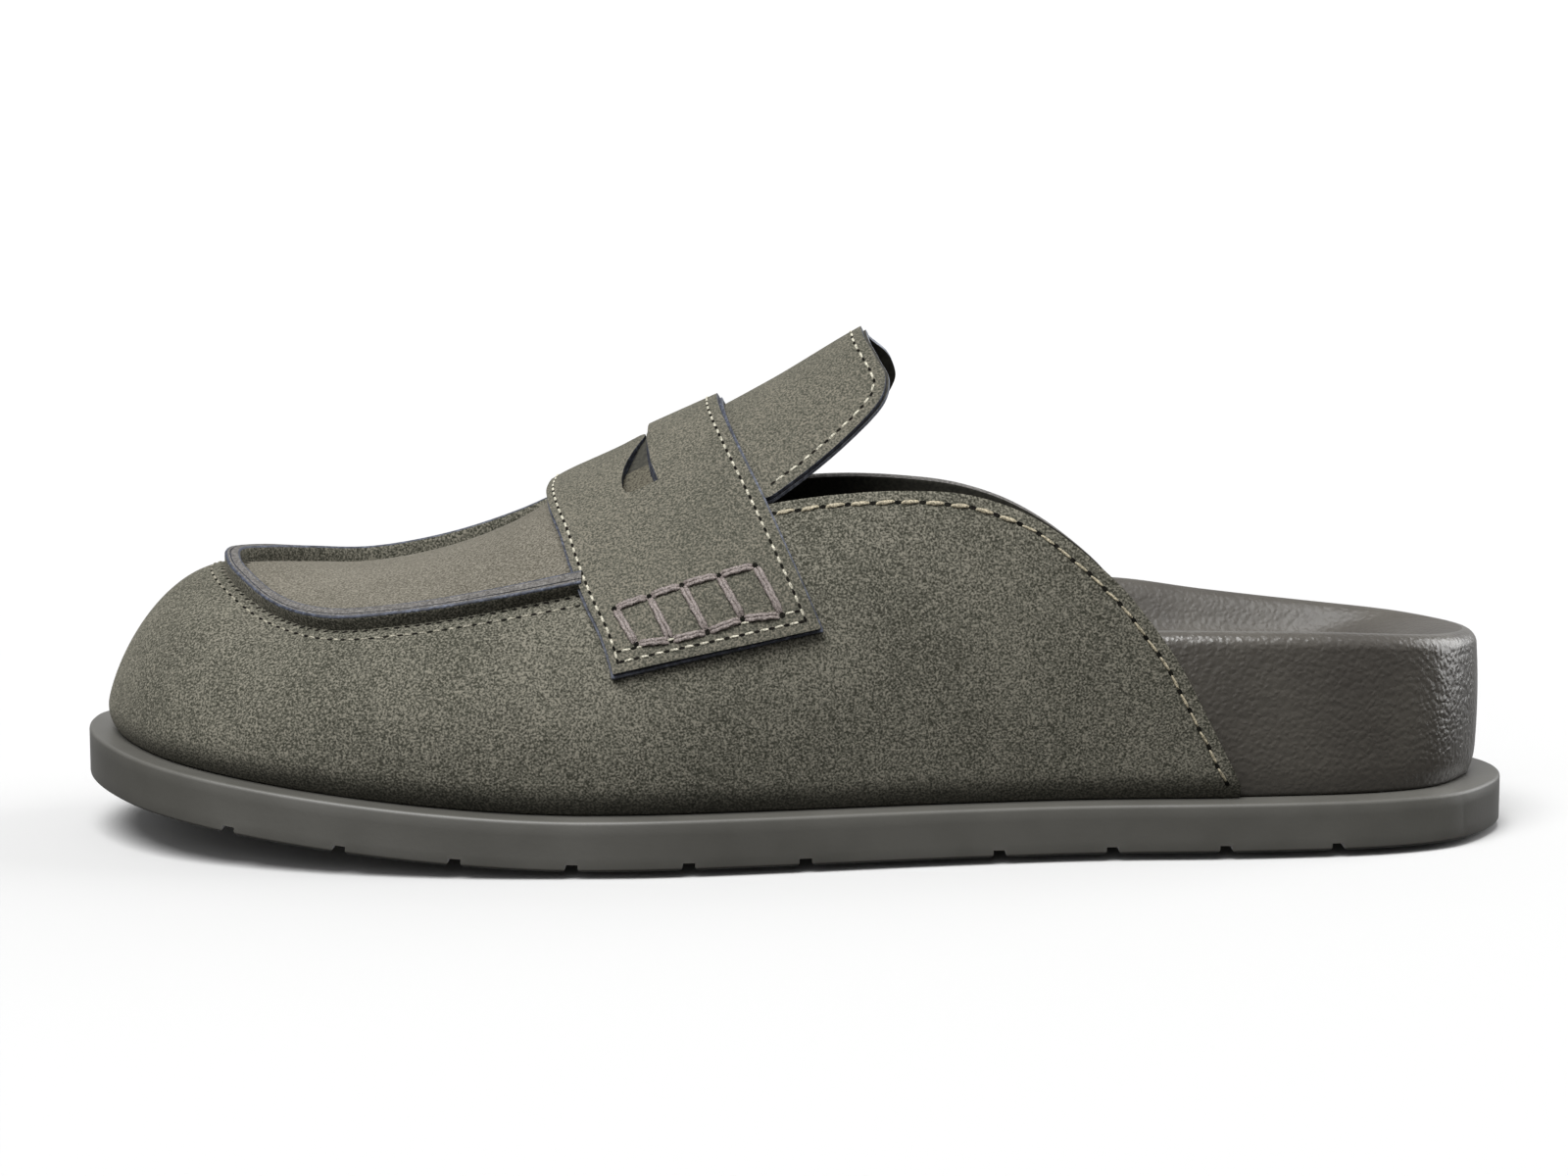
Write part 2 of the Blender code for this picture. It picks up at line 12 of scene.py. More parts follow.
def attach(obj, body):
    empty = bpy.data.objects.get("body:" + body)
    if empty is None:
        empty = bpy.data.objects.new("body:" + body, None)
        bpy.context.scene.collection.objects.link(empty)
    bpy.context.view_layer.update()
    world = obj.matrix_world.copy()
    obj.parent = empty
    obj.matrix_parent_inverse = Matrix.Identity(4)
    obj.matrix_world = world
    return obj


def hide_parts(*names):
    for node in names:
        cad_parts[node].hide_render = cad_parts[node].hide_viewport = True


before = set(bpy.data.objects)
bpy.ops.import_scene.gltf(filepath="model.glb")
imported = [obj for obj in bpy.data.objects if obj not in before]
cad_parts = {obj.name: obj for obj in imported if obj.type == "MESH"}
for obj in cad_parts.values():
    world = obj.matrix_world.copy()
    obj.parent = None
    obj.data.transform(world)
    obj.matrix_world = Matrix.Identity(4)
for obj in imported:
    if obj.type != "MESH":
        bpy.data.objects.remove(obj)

MM = 0.001
LATERAL = -1
MEDIAL = 1
SIDES = {LATERAL: "lateral", MEDIAL: "medial"}

# Sizes of the shoe; some of them differ from the solids
LENGTH = 290 * MM
BALL_WIDTH = 112 * MM
HEEL_WIDTH = 76 * MM
INSTEP_HEIGHT = 84 * MM
COLLAR_HEIGHT = 70 * MM
HEEL_RIM_HEIGHT = 42 * MM
SOLE_THICKNESS = 9.7 * MM
TOE_SPRING = 10.3 * MM
LEDGE = 3.4 * MM
LEATHER = 1.9 * MM
STRAP_THICKNESS = 2.3 * MM
TONGUE_THICKNESS = 2.2 * MM
SEAT = 0.3 * MM
APRON_DROP = 0.3 * MM
SPRING_START = 0.638
UPPER_BACK = 0.1985
COLLAR_FRONT = 0.517
THROAT_FRONT = 0.590
SEAM_END = 0.671
SEAM_HEIGHT = 2.7 * MM
SEAM_WIDTH = 3.4 * MM
SEAM_SEAT = 0.5 * MM
SOLE_TOP_ROUND = 0.8 * MM
SOLE_FOOT_ROUND = 0.6 * MM
GROOVE_WIDTH = 2.4 * MM
GROOVE_MOUTH = 3.2 * MM
GROOVE_DEPTH = 1.4 * MM
GROOVE_PITCH = 22.2 * MM
RIM_ROUND = 3.0 * MM
CUP_RUN = 34 * MM
TOE_GAP = 1.0 * MM
SLOT_LENGTH = 44 * MM
SLOT_WIDTH = 7.9 * MM
SLOT_PLACE = 0.605
FOREFOOT_GROOVE = 0.493
HEEL_GROOVE = 0.134

# Sizes of forms that are drawn here only
VAMP_TUCK = 2.0 * MM
VAMP_TUCK_HEIGHT = 6.0 * MM
BLOCK_TUCK = 0.9 * MM
BLOCK_TUCK_HEIGHT = 5.0 * MM
# Height above the sole over which shade is painted on the foot of the upper
PAINTED_SHADE_HEIGHT = 7 * MM
APRON_BACK = 0.612
SEAM_BACK = 2.0 * MM
PLY_GAP = 0.06 * MM
STRAP_FRONT_RISE = 1.0 * MM
SLOT_SHIFT = 4 * MM
LIP_RISE = 1.3 * MM
LIP_START = 2.0 * MM
LIP_FULL = 2.8 * MM
LIP_RUN = 16 * MM
UNDERLAY_LOW = 0.6 * MM
UNDERLAY_HIGH = 1.9 * MM
TONGUE_MEDIAL_RUN = 4.8 * MM


def turn(share):
    """Angle of a place along the length, which opens the rounded toe and heel out evenly."""
    return math.acos(1 - 2 * min(1, max(0, share)))


def share_at(angle):
    return (1 - math.cos(angle)) / 2


def ease(low, high, at):
    """Smooth step from 0 at low to 1 at high."""
    part = min(1, max(0, (at - low) / (high - low)))
    return part * part * (3 - 2 * part)


def mix(first, second, part):
    return first + (second - first) * part


def spread(first, last, count):
    """Values evenly spread from first to last, both included."""
    return [mix(first, last, i / count) for i in range(count + 1)]


class Table:
    """Rows with named columns, read as smooth curves over the first column."""

    def __init__(self, names, rows, knot=float):
        names = names.split()
        columns = dict(zip(names, zip(*rows)))
        self.knots = [knot(value) for value in columns[names[0]]]
        self.curves = {name: (columns[name], self.slopes(columns[name])) for name in names[1:]}

    def slopes(self, values):
        knots = self.knots
        steps = [b - a for a, b in zip(knots, knots[1:])]
        rates = [(b - a) / step for a, b, step in zip(values, values[1:], steps)]
        inner = [
            (rates[i] * steps[i + 1] + rates[i + 1] * steps[i]) / (steps[i] + steps[i + 1])
            for i in range(len(rates) - 1)
        ]
        return [2 * rates[0] - inner[0], *inner, 2 * rates[-1] - inner[-1]]

    def read(self, name, at):
        values, slopes = self.curves[name]
        i = 0
        while i < len(self.knots) - 2 and at > self.knots[i + 1]:
            i += 1
        step = self.knots[i + 1] - self.knots[i]
        t = min(1, max(0, (at - self.knots[i]) / step))
        rise = values[i] * (1 + 2 * t) * (1 - t) ** 2 + values[i + 1] * t * t * (3 - 2 * t)
        return rise + step * (slopes[i] * t * (1 - t) ** 2 - slopes[i + 1] * t * t * (1 - t))


# Sole outline: half widths to either side, as shares of the local width
OUTLINE = Table("share lateral medial", [
    (0.000, -0.040, 0.040),
    (0.015, 0.164, 0.237),
    (0.050, 0.336, 0.395),
    (0.100, 0.428, 0.476),
    (0.160, 0.472, 0.508),
    (0.245, 0.500, 0.500),
    (0.340, 0.499, 0.437),
    (0.440, 0.486, 0.395),
    (0.530, 0.484, 0.420),
    (0.620, 0.494, 0.471),
    (0.700, 0.498, 0.498),
    (0.780, 0.478, 0.487),
    (0.860, 0.425, 0.427),
    (0.930, 0.330, 0.331),
    (0.975, 0.190, 0.222),
    (1.000, -0.045, 0.045),
], knot=turn)

# Cross sections of the last. in: how far the shoulder lies inside the feather line, as a share
# of the ball width; up: its height, as a share of the instep height; crown: the middle of the
# top, as a share of the ball width from the axis; top: its height, as a share of the instep.
LAST = Table("share lateral_in lateral_up medial_in medial_up crown top", [
    (0.00, 0.020, 0.640, 0.020, 0.640, 0.027, 1.30),
    (0.15, 0.022, 0.670, 0.022, 0.670, 0.027, 1.30),
    (0.25, 0.026, 0.700, 0.024, 0.700, 0.036, 1.32),
    (0.33, 0.050, 0.750, 0.040, 0.760, 0.045, 1.31),
    (0.43, 0.096, 0.800, 0.078, 0.800, 0.050, 1.235),
    (0.52, 0.130, 0.745, 0.105, 0.820, 0.055, 1.06),
    (0.60, 0.160, 0.650, 0.143, 0.800, 0.062, 0.91),
    (0.655, 0.174, 0.602, 0.180, 0.742, 0.068, 0.806),
    (0.70, 0.163, 0.563, 0.174, 0.668, 0.070, 0.708),
    (0.76, 0.151, 0.514, 0.152, 0.588, 0.068, 0.617),
    (0.82, 0.154, 0.478, 0.146, 0.541, 0.064, 0.566),
    (0.88, 0.203, 0.479, 0.166, 0.537, 0.055, 0.556),
    (0.94, 0.224, 0.514, 0.190, 0.541, 0.045, 0.560),
    (1.00, 0.221, 0.541, 0.221, 0.541, 0.045, 0.562),
])

# Top line of the upper behind the strap to either side, as shares of the collar height
COLLAR = Table("share lateral medial", [
    (0.195, 0.150, 0.150),
    (0.220, 0.352, 0.345),
    (0.243, 0.530, 0.510),
    (0.258, 0.620, 0.595),
    (0.276, 0.716, 0.684),
    (0.300, 0.812, 0.775),
    (0.3366, 0.922, 0.880),
    (0.377, 0.984, 0.945),
    (0.426, 1.000, 0.975),
    (0.470, 0.990, 0.978),
    (0.517, 0.962, 0.955),
])

# Footbed: its rim to either side and its floor, as shares of the heel rim height
FOOTBED = Table("share lateral medial floor", [
    (0.00, 0.930, 0.930, 0.72),
    (0.06, 0.965, 0.948, 0.68),
    (0.13, 0.995, 0.980, 0.66),
    (0.20, 1.008, 1.030, 0.66),
    (0.27, 1.010, 1.095, 0.66),
    (0.40, 0.900, 1.060, 0.62),
    (0.50, 0.720, 0.830, 0.54),
    (0.62, 0.520, 0.540, 0.45),
    (0.80, 0.490, 0.490, 0.44),
    (1.00, 0.460, 0.460, 0.44),
])

# Strap: its lower edge as a share of the collar height, from its front edge (0) to its back (1)
STRAP_FOOT = Table("across height", [(0.0, 0.512), (0.5, 0.575), (1.0, 0.634)])

# Strap: front and back edges as shares of the length, from the lower edge (0) over the crown (1)
STRAP_EDGES = Table("up front back", [
    (0.00, 0.6180, 0.4817),
    (0.10, 0.6250, 0.4920),
    (0.23, 0.6375, 0.5050),
    (0.39, 0.6490, 0.5190),
    (0.53, 0.6560, 0.5305),
    (0.69, 0.6640, 0.5415),
    (0.85, 0.6680, 0.5490),
    (1.00, 0.6670, 0.5510),
    (1.15, 0.6680, 0.5490),
])

# Tongue: back edge as a share of the length, from its corner at the collar (0) over the crown (1)
TONGUE_EDGE = Table("up back", [
    (0.00, 0.5150),
    (0.08, 0.4920),
    (0.20, 0.4640),
    (0.34, 0.4415),
    (0.46, 0.4375),
    (0.60, 0.4440),
    (0.80, 0.4520),
    (1.00, 0.4540),
    (1.20, 0.4510),
])

# Slot in the strap: half of its outline from the middle (0) to its end (1). along: share of half
# the slot's length; across: share of the slot's width, forwards below zero
SLOT = [
    (0.00, -0.008),
    (0.10, -0.06),
    (0.29, -0.25),
    (0.45, -0.40),
    (0.60, -0.50),
    (0.75, -0.53),
    (0.88, -0.50),
    (0.97, -0.38),
    (1.00, -0.25),
    (1.00, 0.42),
    (0.72, 0.20),
    (0.39, 0.07),
    (0.20, 0.03),
    (0.00, 0.008),
]

TOE_CENTRE = LENGTH * (0.5 - 0.820)
HEEL_CENTRE = LENGTH * (0.5 - 0.130)
CENTRE_BLEND = 8 * MM
CENTRE_DRIFT = 0.3
WALL_BULGE = 2.0 * MM
SPRING_POWER = 1.5


def share_of(x):
    return min(1, max(0, 0.5 - x / LENGTH))


def local_width(share):
    return mix(HEEL_WIDTH, BALL_WIDTH, ease(0.25, 0.62, share))


def edge(side, angle, inset=0):
    """Plan point on the sole outline, or inside it by inset, at an angle from heel (0) to toe (pi)."""
    def point(at):
        half = OUTLINE.read(SIDES[side], at) * local_width(share_at(at))
        return Vector((LENGTH / 2 * math.cos(at), side * half))

    step = 0.004
    if angle < step:
        along = Vector((0, side))
    elif angle > math.pi - step:
        along = Vector((0, -side))
    else:
        along = (point(angle + step) - point(angle - step)).normalized()
    outward = Vector((along.y, -along.x)) * side
    return point(angle) - outward * inset


def floor_rise(x):
    """Height of the sole's underside above the floor: flat, then the toe spring."""
    start = LENGTH * (0.5 - SPRING_START)
    part = max(0, (start - x) / (start + LENGTH / 2))
    return TOE_SPRING * part ** SPRING_POWER


def soft_floor(value):
    """Zero below, the value itself above, with a smooth bend between."""
    return CENTRE_BLEND * math.log(1 + math.exp(value / CENTRE_BLEND))


def section_centre(x):
    """Where the section from an edge point at x meets the spine; it fans out at toe and heel."""
    inside = 1 - CENTRE_DRIFT
    toe_part = inside * (soft_floor(x - TOE_CENTRE) - (x - TOE_CENTRE))
    heel_part = inside * (soft_floor(HEEL_CENTRE - x) - (HEEL_CENTRE - x))
    return x + toe_part - heel_part


def bend(points, count):
    """Points along the cubic curve with four control points."""
    a, b, c, d = [Vector(point) for point in points]
    result = []
    for t in spread(0, 1, count):
        s = 1 - t
        result.append(a * s ** 3 + b * (3 * s * s * t) + c * (3 * s * t * t) + d * t ** 3)
    return result


class Section:
    """Outer line of the last from the feather line, over the shoulder, to the spine."""

    WALL_STEPS = 36
    TOP_STEPS = 30
    SHOULDER_PULL = 0.55
    CROWN_FULLNESS = 1.8

    def __init__(self, side, angle):
        share = share_at(angle)
        name = SIDES[side]
        foot = edge(side, angle, LEDGE)
        x = section_centre(edge(side, angle).x)
        centre = Vector((x, LAST.read("crown", share_of(x)) * BALL_WIDTH))
        reach = (centre - foot).length
        self.foot = foot
        self.inward = (centre - foot).normalized()
        low = SOLE_THICKNESS + SEAT + floor_rise(foot.x)
        top = LAST.read("top", share_of(x)) * INSTEP_HEIGHT + floor_rise(x)
        inset = LAST.read(name + "_in", share) * BALL_WIDTH
        shoulder_x = foot.x + self.inward.x * inset
        shoulder = LAST.read(name + "_up", share) * INSTEP_HEIGHT + floor_rise(shoulder_x)
        slope = self.CROWN_FULLNESS * (top - shoulder) / (reach - inset)
        pull = self.SHOULDER_PULL * inset
        third = (reach - inset) / 3
        toe = ease(0.84, 0.98, share)
        wall = bend([
            (0, low),
            (-WALL_BULGE * (1 - toe), mix(low, shoulder, mix(0.5, 0.34, toe))),
            (inset - pull, shoulder - slope * pull),
            (inset, shoulder),
        ], self.WALL_STEPS)
        over = bend([
            (inset, shoulder),
            (inset + third, shoulder + slope * third),
            (reach - third, top),
            (reach, top),
        ], self.TOP_STEPS)
        drop = APRON_DROP * ease(0.63, 0.72, share_of(x))
        for i, point in enumerate(over):
            point.y -= drop * ease(0, 0.35, i / self.TOP_STEPS)
        self.line = wall + over[1:]
        self.lengths = [0]
        for a, b in zip(self.line, self.line[1:]):
            self.lengths.append(self.lengths[-1] + (b - a).length)
        self.shoulder_up = self.lengths[self.WALL_STEPS] / self.lengths[-1]

    def point(self, up):
        """Point at a share of the line from the feather line (0) to the spine (1)."""
        at = min(1, max(0, up)) * self.lengths[-1]
        i = 0
        while i < len(self.line) - 2 and at > self.lengths[i + 1]:
            i += 1
        part = (at - self.lengths[i]) / (self.lengths[i + 1] - self.lengths[i])
        flat = self.line[i].lerp(self.line[i + 1], part)
        plan = self.foot + self.inward * flat.x
        return Vector((plan.x, plan.y, flat.y))

    def up_at(self, height):
        """Share of the line at which it first reaches a height."""
        for i in range(len(self.line) - 1):
            low, high = self.line[i].y, self.line[i + 1].y
            if high >= height:
                part = max(0, (height - low) / (high - low))
                return mix(self.lengths[i], self.lengths[i + 1], part) / self.lengths[-1]
        return 1


SECTIONS = {}


def section(side, angle):
    key = (side, round(angle, 6))
    if key not in SECTIONS:
        SECTIONS[key] = Section(side, angle)
    return SECTIONS[key]


def skin(side, share, up, lift=0):
    """Point on the last's outer surface, or lifted off it along the outward normal."""
    angle = turn(share)
    step = 0.01
    if angle + step > math.pi:
        after = section(-side, math.pi - step).point(up)
        before = section(side, math.pi - step).point(up)
    else:
        after = section(side, angle + step).point(up)
        before = section(side, max(0, angle - step)).point(up)
    if up + step > 1:
        high = section(-side, angle).point(1 - step)
        low = section(side, angle).point(1 - step)
    else:
        high = section(side, angle).point(up + step)
        low = section(side, angle).point(max(0, up - step))
    normal = (after - before).cross(high - low).normalized() * side
    return section(side, angle).point(up) + normal * lift


def collar_up(side, share):
    """Top of the upper's wall: the collar, then the round throat that the strap hides."""
    if share <= COLLAR_FRONT:
        height = COLLAR.read(SIDES[side], share) * COLLAR_HEIGHT
        return section(side, turn(share)).up_at(height)
    if share >= THROAT_FRONT:
        return 1
    low = collar_up(side, COLLAR_FRONT)
    part = (share - COLLAR_FRONT) / (THROAT_FRONT - COLLAR_FRONT)
    return 1 - (1 - low) * math.sqrt(1 - part * part)


# Building pieces

# A point in the middle of the upper, which outward faces look away from
INSIDE = Vector((-0.05, 0, 0.03))


def drape(columns, rows, place, finish=None):
    """A grid whose every point is placed on the shoe by its share along and across it."""
    bm = bmesh.new()
    bmesh.ops.create_grid(bm, x_segments=columns, y_segments=rows, size=1)
    if finish:
        for face in bm.faces:
            middle = face.calc_center_median()
            face.material_index = finish((middle.x + 1) / 2, (middle.y + 1) / 2)
    for vert in bm.verts:
        along = round((vert.co.x + 1) / 2 * columns) / columns
        across = round((vert.co.y + 1) / 2 * rows) / rows
        vert.co = place(along, across)
    return bm


def mesh_of(name, bm):
    """A mesh with what was built; the working mesh is let go."""
    mesh = bpy.data.meshes.new(name)
    bm.to_mesh(mesh)
    bm.free()
    return mesh


def put_in_scene(name, data):
    made = bpy.data.objects.new(name, data)
    bpy.context.scene.collection.objects.link(made)
    return made


def shade(mesh, sharp):
    """Shade smooth, with a crease where faces meet at more than an angle in degrees."""
    mesh.shade_smooth()
    mesh.set_sharp_from_angle(angle=math.radians(sharp))


def gather(parts):
    """Weld several meshes into one with its faces outward."""
    bm = bmesh.new()
    for part in parts:
        mesh = mesh_of("part", part)
        bm.from_mesh(mesh)
        bpy.data.meshes.remove(mesh)
    weld(bm, 0.02 * MM)
    face_out(bm)
    return bm


def weld(bm, gap=0.01 * MM):
    bmesh.ops.remove_doubles(bm, verts=bm.verts, dist=gap)
    bmesh.ops.dissolve_degenerate(bm, edges=bm.edges, dist=gap / 4)


def face_out(bm):
    """Turn an open shell's faces away from the inside of the shoe."""
    bmesh.ops.recalc_face_normals(bm, faces=bm.faces)
    facing = sum(face.normal.dot(face.calc_center_median() - INSIDE) * face.calc_area() for face in bm.faces)
    if facing < 0:
        bmesh.ops.reverse_faces(bm, faces=bm.faces)


def add_piece(name, bm, finishes, slot, sharp=50):
    """Put a finished mesh into the scene as a named piece that rides with the shoe."""
    made = put_in_scene(name, mesh_of(name, bm))
    for finish in finishes:
        made.data.materials.append(finish)
    shade(made.data, sharp)
    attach(made, "root")
    return made


def cutting_block(name, outlines, run, finish):
    """Each flat outline drawn out along a run, as one object that is cut out of a piece."""
    bm = bmesh.new()
    for outline in outlines:
        base = bm.faces.new([bm.verts.new(corner) for corner in outline])
        raised = bmesh.ops.extrude_face_region(bm, geom=[base])["geom"]
        corners = [item for item in raised if isinstance(item, bmesh.types.BMVert)]
        bmesh.ops.translate(bm, verts=corners, vec=run)
    bmesh.ops.recalc_face_normals(bm, faces=bm.faces)
    block = put_in_scene(name, mesh_of(name, bm))
    block.data.materials.append(finish)
    return block


def add_cut(made, block):
    cut = made.modifiers.new("cut", "BOOLEAN")
    cut.operation = "DIFFERENCE"
    cut.solver = "EXACT"
    cut.object = block
    return cut


def settle(made, block, sharp):
    """Apply a piece's modifiers to its mesh and take the cutting block away."""
    graph = bpy.context.evaluated_depsgraph_get()
    settled = bpy.data.meshes.new_from_object(made.evaluated_get(graph))
    made.modifiers.clear()
    made.data = settled
    if block:
        bpy.data.objects.remove(block)
    shade(settled, sharp)


def give_wall(made, thickness, offset, round_edge, block=None, layers=1, even=True):
    """Give an open skin its leather's thickness. A piece lists its outer finishes, as many as it has
    layers, then as many for the inside and for the cut edge."""
    wall = made.modifiers.new("wall", "SOLIDIFY")
    wall.thickness = thickness
    wall.offset = offset
    wall.use_even_offset = even
    wall.material_offset = layers
    wall.material_offset_rim = 2 * layers
    if block:
        add_cut(made, block).material_mode = "TRANSFER"
    rounding = made.modifiers.new("rounding", "BEVEL")
    rounding.width = round_edge
    rounding.segments = 2
    rounding.limit_method = "ANGLE"
    rounding.angle_limit = math.radians(50)
    rounding.material = 2 * layers
    settle(made, block, 60)
    return made


# Finishes


def linear(code):
    """Linear colour of an sRGB hex code."""
    values = [int(code[i:i + 2], 16) / 255 for i in (1, 3, 5)]
    return [v / 12.92 if v <= 0.04045 else ((v + 0.055) / 1.055) ** 2.4 for v in values] + [1]


def add_node(tree, kind, settings=None, links=None):
    """Add a node. Settings are its properties, inputs or ramp stops; links feed its inputs,
    from a socket or from a node's first output."""
    node = tree.nodes.new("ShaderNode" + kind)
    for key, value in (settings or {}).items():
        if key == "stops":
            band = node.color_ramp.elements
            while len(band) < len(value):
                band.new(0.5)
            for element, (place, code) in zip(band, value):
                element.position = place
                element.color = linear(code)
        elif hasattr(node, str(key)):
            setattr(node, key, value)
        else:
            node.inputs[key].default_value = value
    for key, source in (links or {}).items():
        socket = source.outputs[0] if isinstance(source, bpy.types.Node) else source
        tree.links.new(socket, node.inputs[key])
    return node


def new_finish(name, roughness, specular):
    """A Principled material, its way to add nodes, its shader, and the object coordinates that its
    patterns read, in metres."""
    made = bpy.data.materials.new(name)
    made.use_nodes = True
    add = partial(add_node, made.node_tree)
    shader = made.node_tree.nodes["Principled BSDF"]
    shader.inputs["Roughness"].default_value = roughness
    shader.inputs["Specular IOR Level"].default_value = specular
    return made, add, shader, add("TexCoord").outputs["Object"]


def dress(shader, colour, relief):
    """Feed a surface its colour and its fine relief."""
    links = shader.id_data.links
    links.new(colour, shader.inputs["Base Color"])
    links.new(relief.outputs["Normal"], shader.inputs["Normal"])


def grained(name, gloss, size, noise, stops, depth):
    """A finish whose tone and relief follow one grain. gloss: roughness and specular."""
    made, add, shader, place = new_finish(name, *gloss)
    grain = add("TexNoise", {"Scale": 1 / size, **noise}, {"Vector": place})
    tone = add("ValToRGB", {"stops": stops}, {"Fac": grain})
    bump = add("Bump", {"Distance": depth}, {"Height": grain})
    dress(shader, tone.outputs["Color"], bump)
    return made


def nubuck(name, dark, middle, light, nap_depth=0.2 * MM):
    """Nubuck, cowhide buffed on the grain side: its short nap scatters light, so it is dull, with a
    speckle where tufts of fibre lie differently and cloudy patches where it was brushed. The nap is
    drawn at 0.4 mm, coarser than the real fibre, which is too fine to show. Where the mesh attribute
    low is set, painted shade darkens the colour: at the foot of the upper, where the leather turns
    under to the sole and lies in shade."""
    made, add, shader, place = new_finish(name, 0.95, 0.12)
    nap = add("TexNoise", {"Scale": 1 / (0.42 * MM), "Detail": 1}, {"Vector": place})
    cloud = add("TexNoise", {"Scale": 1 / (24 * MM), "Detail": 3}, {"Vector": place})
    both = add("Mix", {"Factor": 0.16}, {"A": nap, "B": cloud})
    tone = add("ValToRGB", {"stops": [(0.36, dark), (0.5, middle), (0.64, light)]}, {"Fac": both})
    # Painted shade: where the attribute low is set, near black is mixed into the colour
    low = add("Attribute", {"attribute_name": "low"})
    part = add("Math", {"operation": "MULTIPLY", 1: 0.62}, {0: low.outputs["Fac"]})
    tone_with_painted_shade = add("Mix", {"data_type": "RGBA", 7: linear("#1c1c18")}, {"Factor": part, 6: tone})
    shader.inputs["Sheen Weight"].default_value = 0.10
    shader.inputs["Sheen Roughness"].default_value = 0.5
    shader.inputs["Sheen Tint"].default_value = linear("#c9c4b4")
    bump = add("Bump", {"Distance": nap_depth, "Strength": 0.8}, {"Height": nap})
    dress(shader, tone_with_painted_shade.outputs[2], bump)
    return made


def edge_ink(name, dark, middle, light):
    """Edge ink, a slate-blue dye wiped on the cut edge: thin and satin, rubbed lighter in places."""
    stops = [(0.34, dark), (0.52, middle), (0.72, light)]
    return grained(name, (0.6, 0.35), 1.1 * MM, {"Detail": 3, "Roughness": 0.65}, stops, 0.15 * MM)


def leather_core():
    """Cut leather: the grey middle of the hide, its loose fibres drawn out along the cut."""
    stops = [(0.32, "#393836"), (0.5, "#53514f"), (0.7, "#72706d")]
    noise = {"Detail": 4, "Roughness": 0.7}
    return grained("cut_leather", (0.95, 0.15), 0.6 * MM, noise, stops, 0.25 * MM)


def pigskin():
    """Pigskin lining: thin, dark olive and smooth, with faint pores."""
    noise = {"Detail": 3, "Roughness": 0.6}
    stops = [(0.35, "#23221e"), (0.65, "#35342d")]
    return grained("pigskin_lining", (0.75, 0.25), 0.9 * MM, noise, stops, 0.08 * MM)


def thread(name, dark, light):
    """Bonded polyester thread: twisted filaments, faintly glossy. Its colour is lighter where its grain is
    raised: painted highlight on the raised plies and painted shade between them, over the thread's own
    colour.
    """
    return grained(name, (0.6, 0.35), 0.35 * MM, {"Detail": 2}, [(0.35, dark), (0.65, light)], 0.05 * MM)


def needle_hole():
    """Needle hole: a flat disc painted near black as painted shade for the pit, with the leather's edge
    pressed in round it.
    """
    made, add, shader, place = new_finish("needle_hole", 1.0, 0.0)
    pit = add("TexNoise", {"Scale": 1 / (0.5 * MM)}, {"Vector": place})
    tone = add("ValToRGB", {"stops": [(0.4, "#0d0d0c"), (0.6, "#1a1916")]}, {"Fac": pit})
    made.node_tree.links.new(tone.outputs["Color"], shader.inputs["Base Color"])
    return made


def moulded_rubber():
    """Rubber, compression-moulded: matte from the mould, with a faint bloom on the skin."""
    made, add, shader, place = new_finish("moulded_rubber", 0.46, 0.4)
    bloom = add("TexNoise", {"Scale": 1 / (18 * MM), "Detail": 3}, {"Vector": place})
    skin_grain = add("TexNoise", {"Scale": 1 / (0.8 * MM), "Detail": 2}, {"Vector": place})
    tone = add("ValToRGB", {"stops": [(0.35, "#42413d"), (0.65, "#4a4945")]}, {"Fac": bloom})
    bump = add("Bump", {"Distance": 0.03 * MM, "Strength": 0.6}, {"Height": skin_grain})
    dress(shader, tone.outputs["Color"], bump)
    return made


def pebbled_leather(name, roughness, specular):
    """Coated split leather round a foam footbed: pressed with a pebble of about 1.1 mm, satin on the
    sides and duller where it is stretched into the heel cup."""
    made, add, shader, place = new_finish(name, roughness, specular)
    warp = add("TexNoise", {"Scale": 1 / (2.0 * MM), "Detail": 2}, {"Vector": place})
    shifted = add("VectorMath", {"operation": "MULTIPLY_ADD"}, {0: warp.outputs["Color"], 2: place})
    shifted.inputs[1].default_value = (1.4 * MM, 1.4 * MM, 1.4 * MM)
    cells = add("TexVoronoi", {"feature": "SMOOTH_F1", "Scale": 1 / (1.1 * MM), "Smoothness": 0.6},
                {"Vector": shifted})
    wide = add("TexNoise", {"Scale": 1 / (20 * MM), "Detail": 2}, {"Vector": place})
    tone = add("ValToRGB", {"stops": [(0.35, "#3a3733"), (0.65, "#43403b")]}, {"Fac": wide})
    bump = add("Bump", {"Distance": 0.22 * MM, "Strength": 0.65, "invert": True}, {"Height": cells})
    dress(shader, tone.outputs["Color"], bump)
    return made


# Upper


def strap_meets_seam(side):
    """Share of the length where the moccasin seam goes in under the strap's front edge."""
    for part in spread(0, 1, 200):
        share, up = strap_place(side, 0, part)
        if up >= section(side, turn(share)).shoulder_up:
            return share
    return SEAM_END


def upper_share(along):
    """Share of the length for a place along the upper, closer together at the back and toe."""
    if along < 0.14:
        return mix(UPPER_BACK, 0.30, along / 0.14)
    if along < 0.38:
        return mix(0.30, COLLAR_FRONT, (along - 0.14) / 0.24)
    if along < 0.48:
        return mix(COLLAR_FRONT, THROAT_FRONT, math.sin(math.pi / 2 * (along - 0.38) / 0.10))
    angle = mix(turn(THROAT_FRONT), math.pi, (along - 0.48) / 0.52)
    return share_at(angle)


def tucked(cut, up, depth, height):
    """Point on a section whose foot is drawn in where the leather turns under to the sole."""
    point = cut.point(up)
    above = point.z - cut.point(0).z
    low = max(0, 1 - above / height)
    return point + cut.inward.to_3d() * depth * low ** 2.2


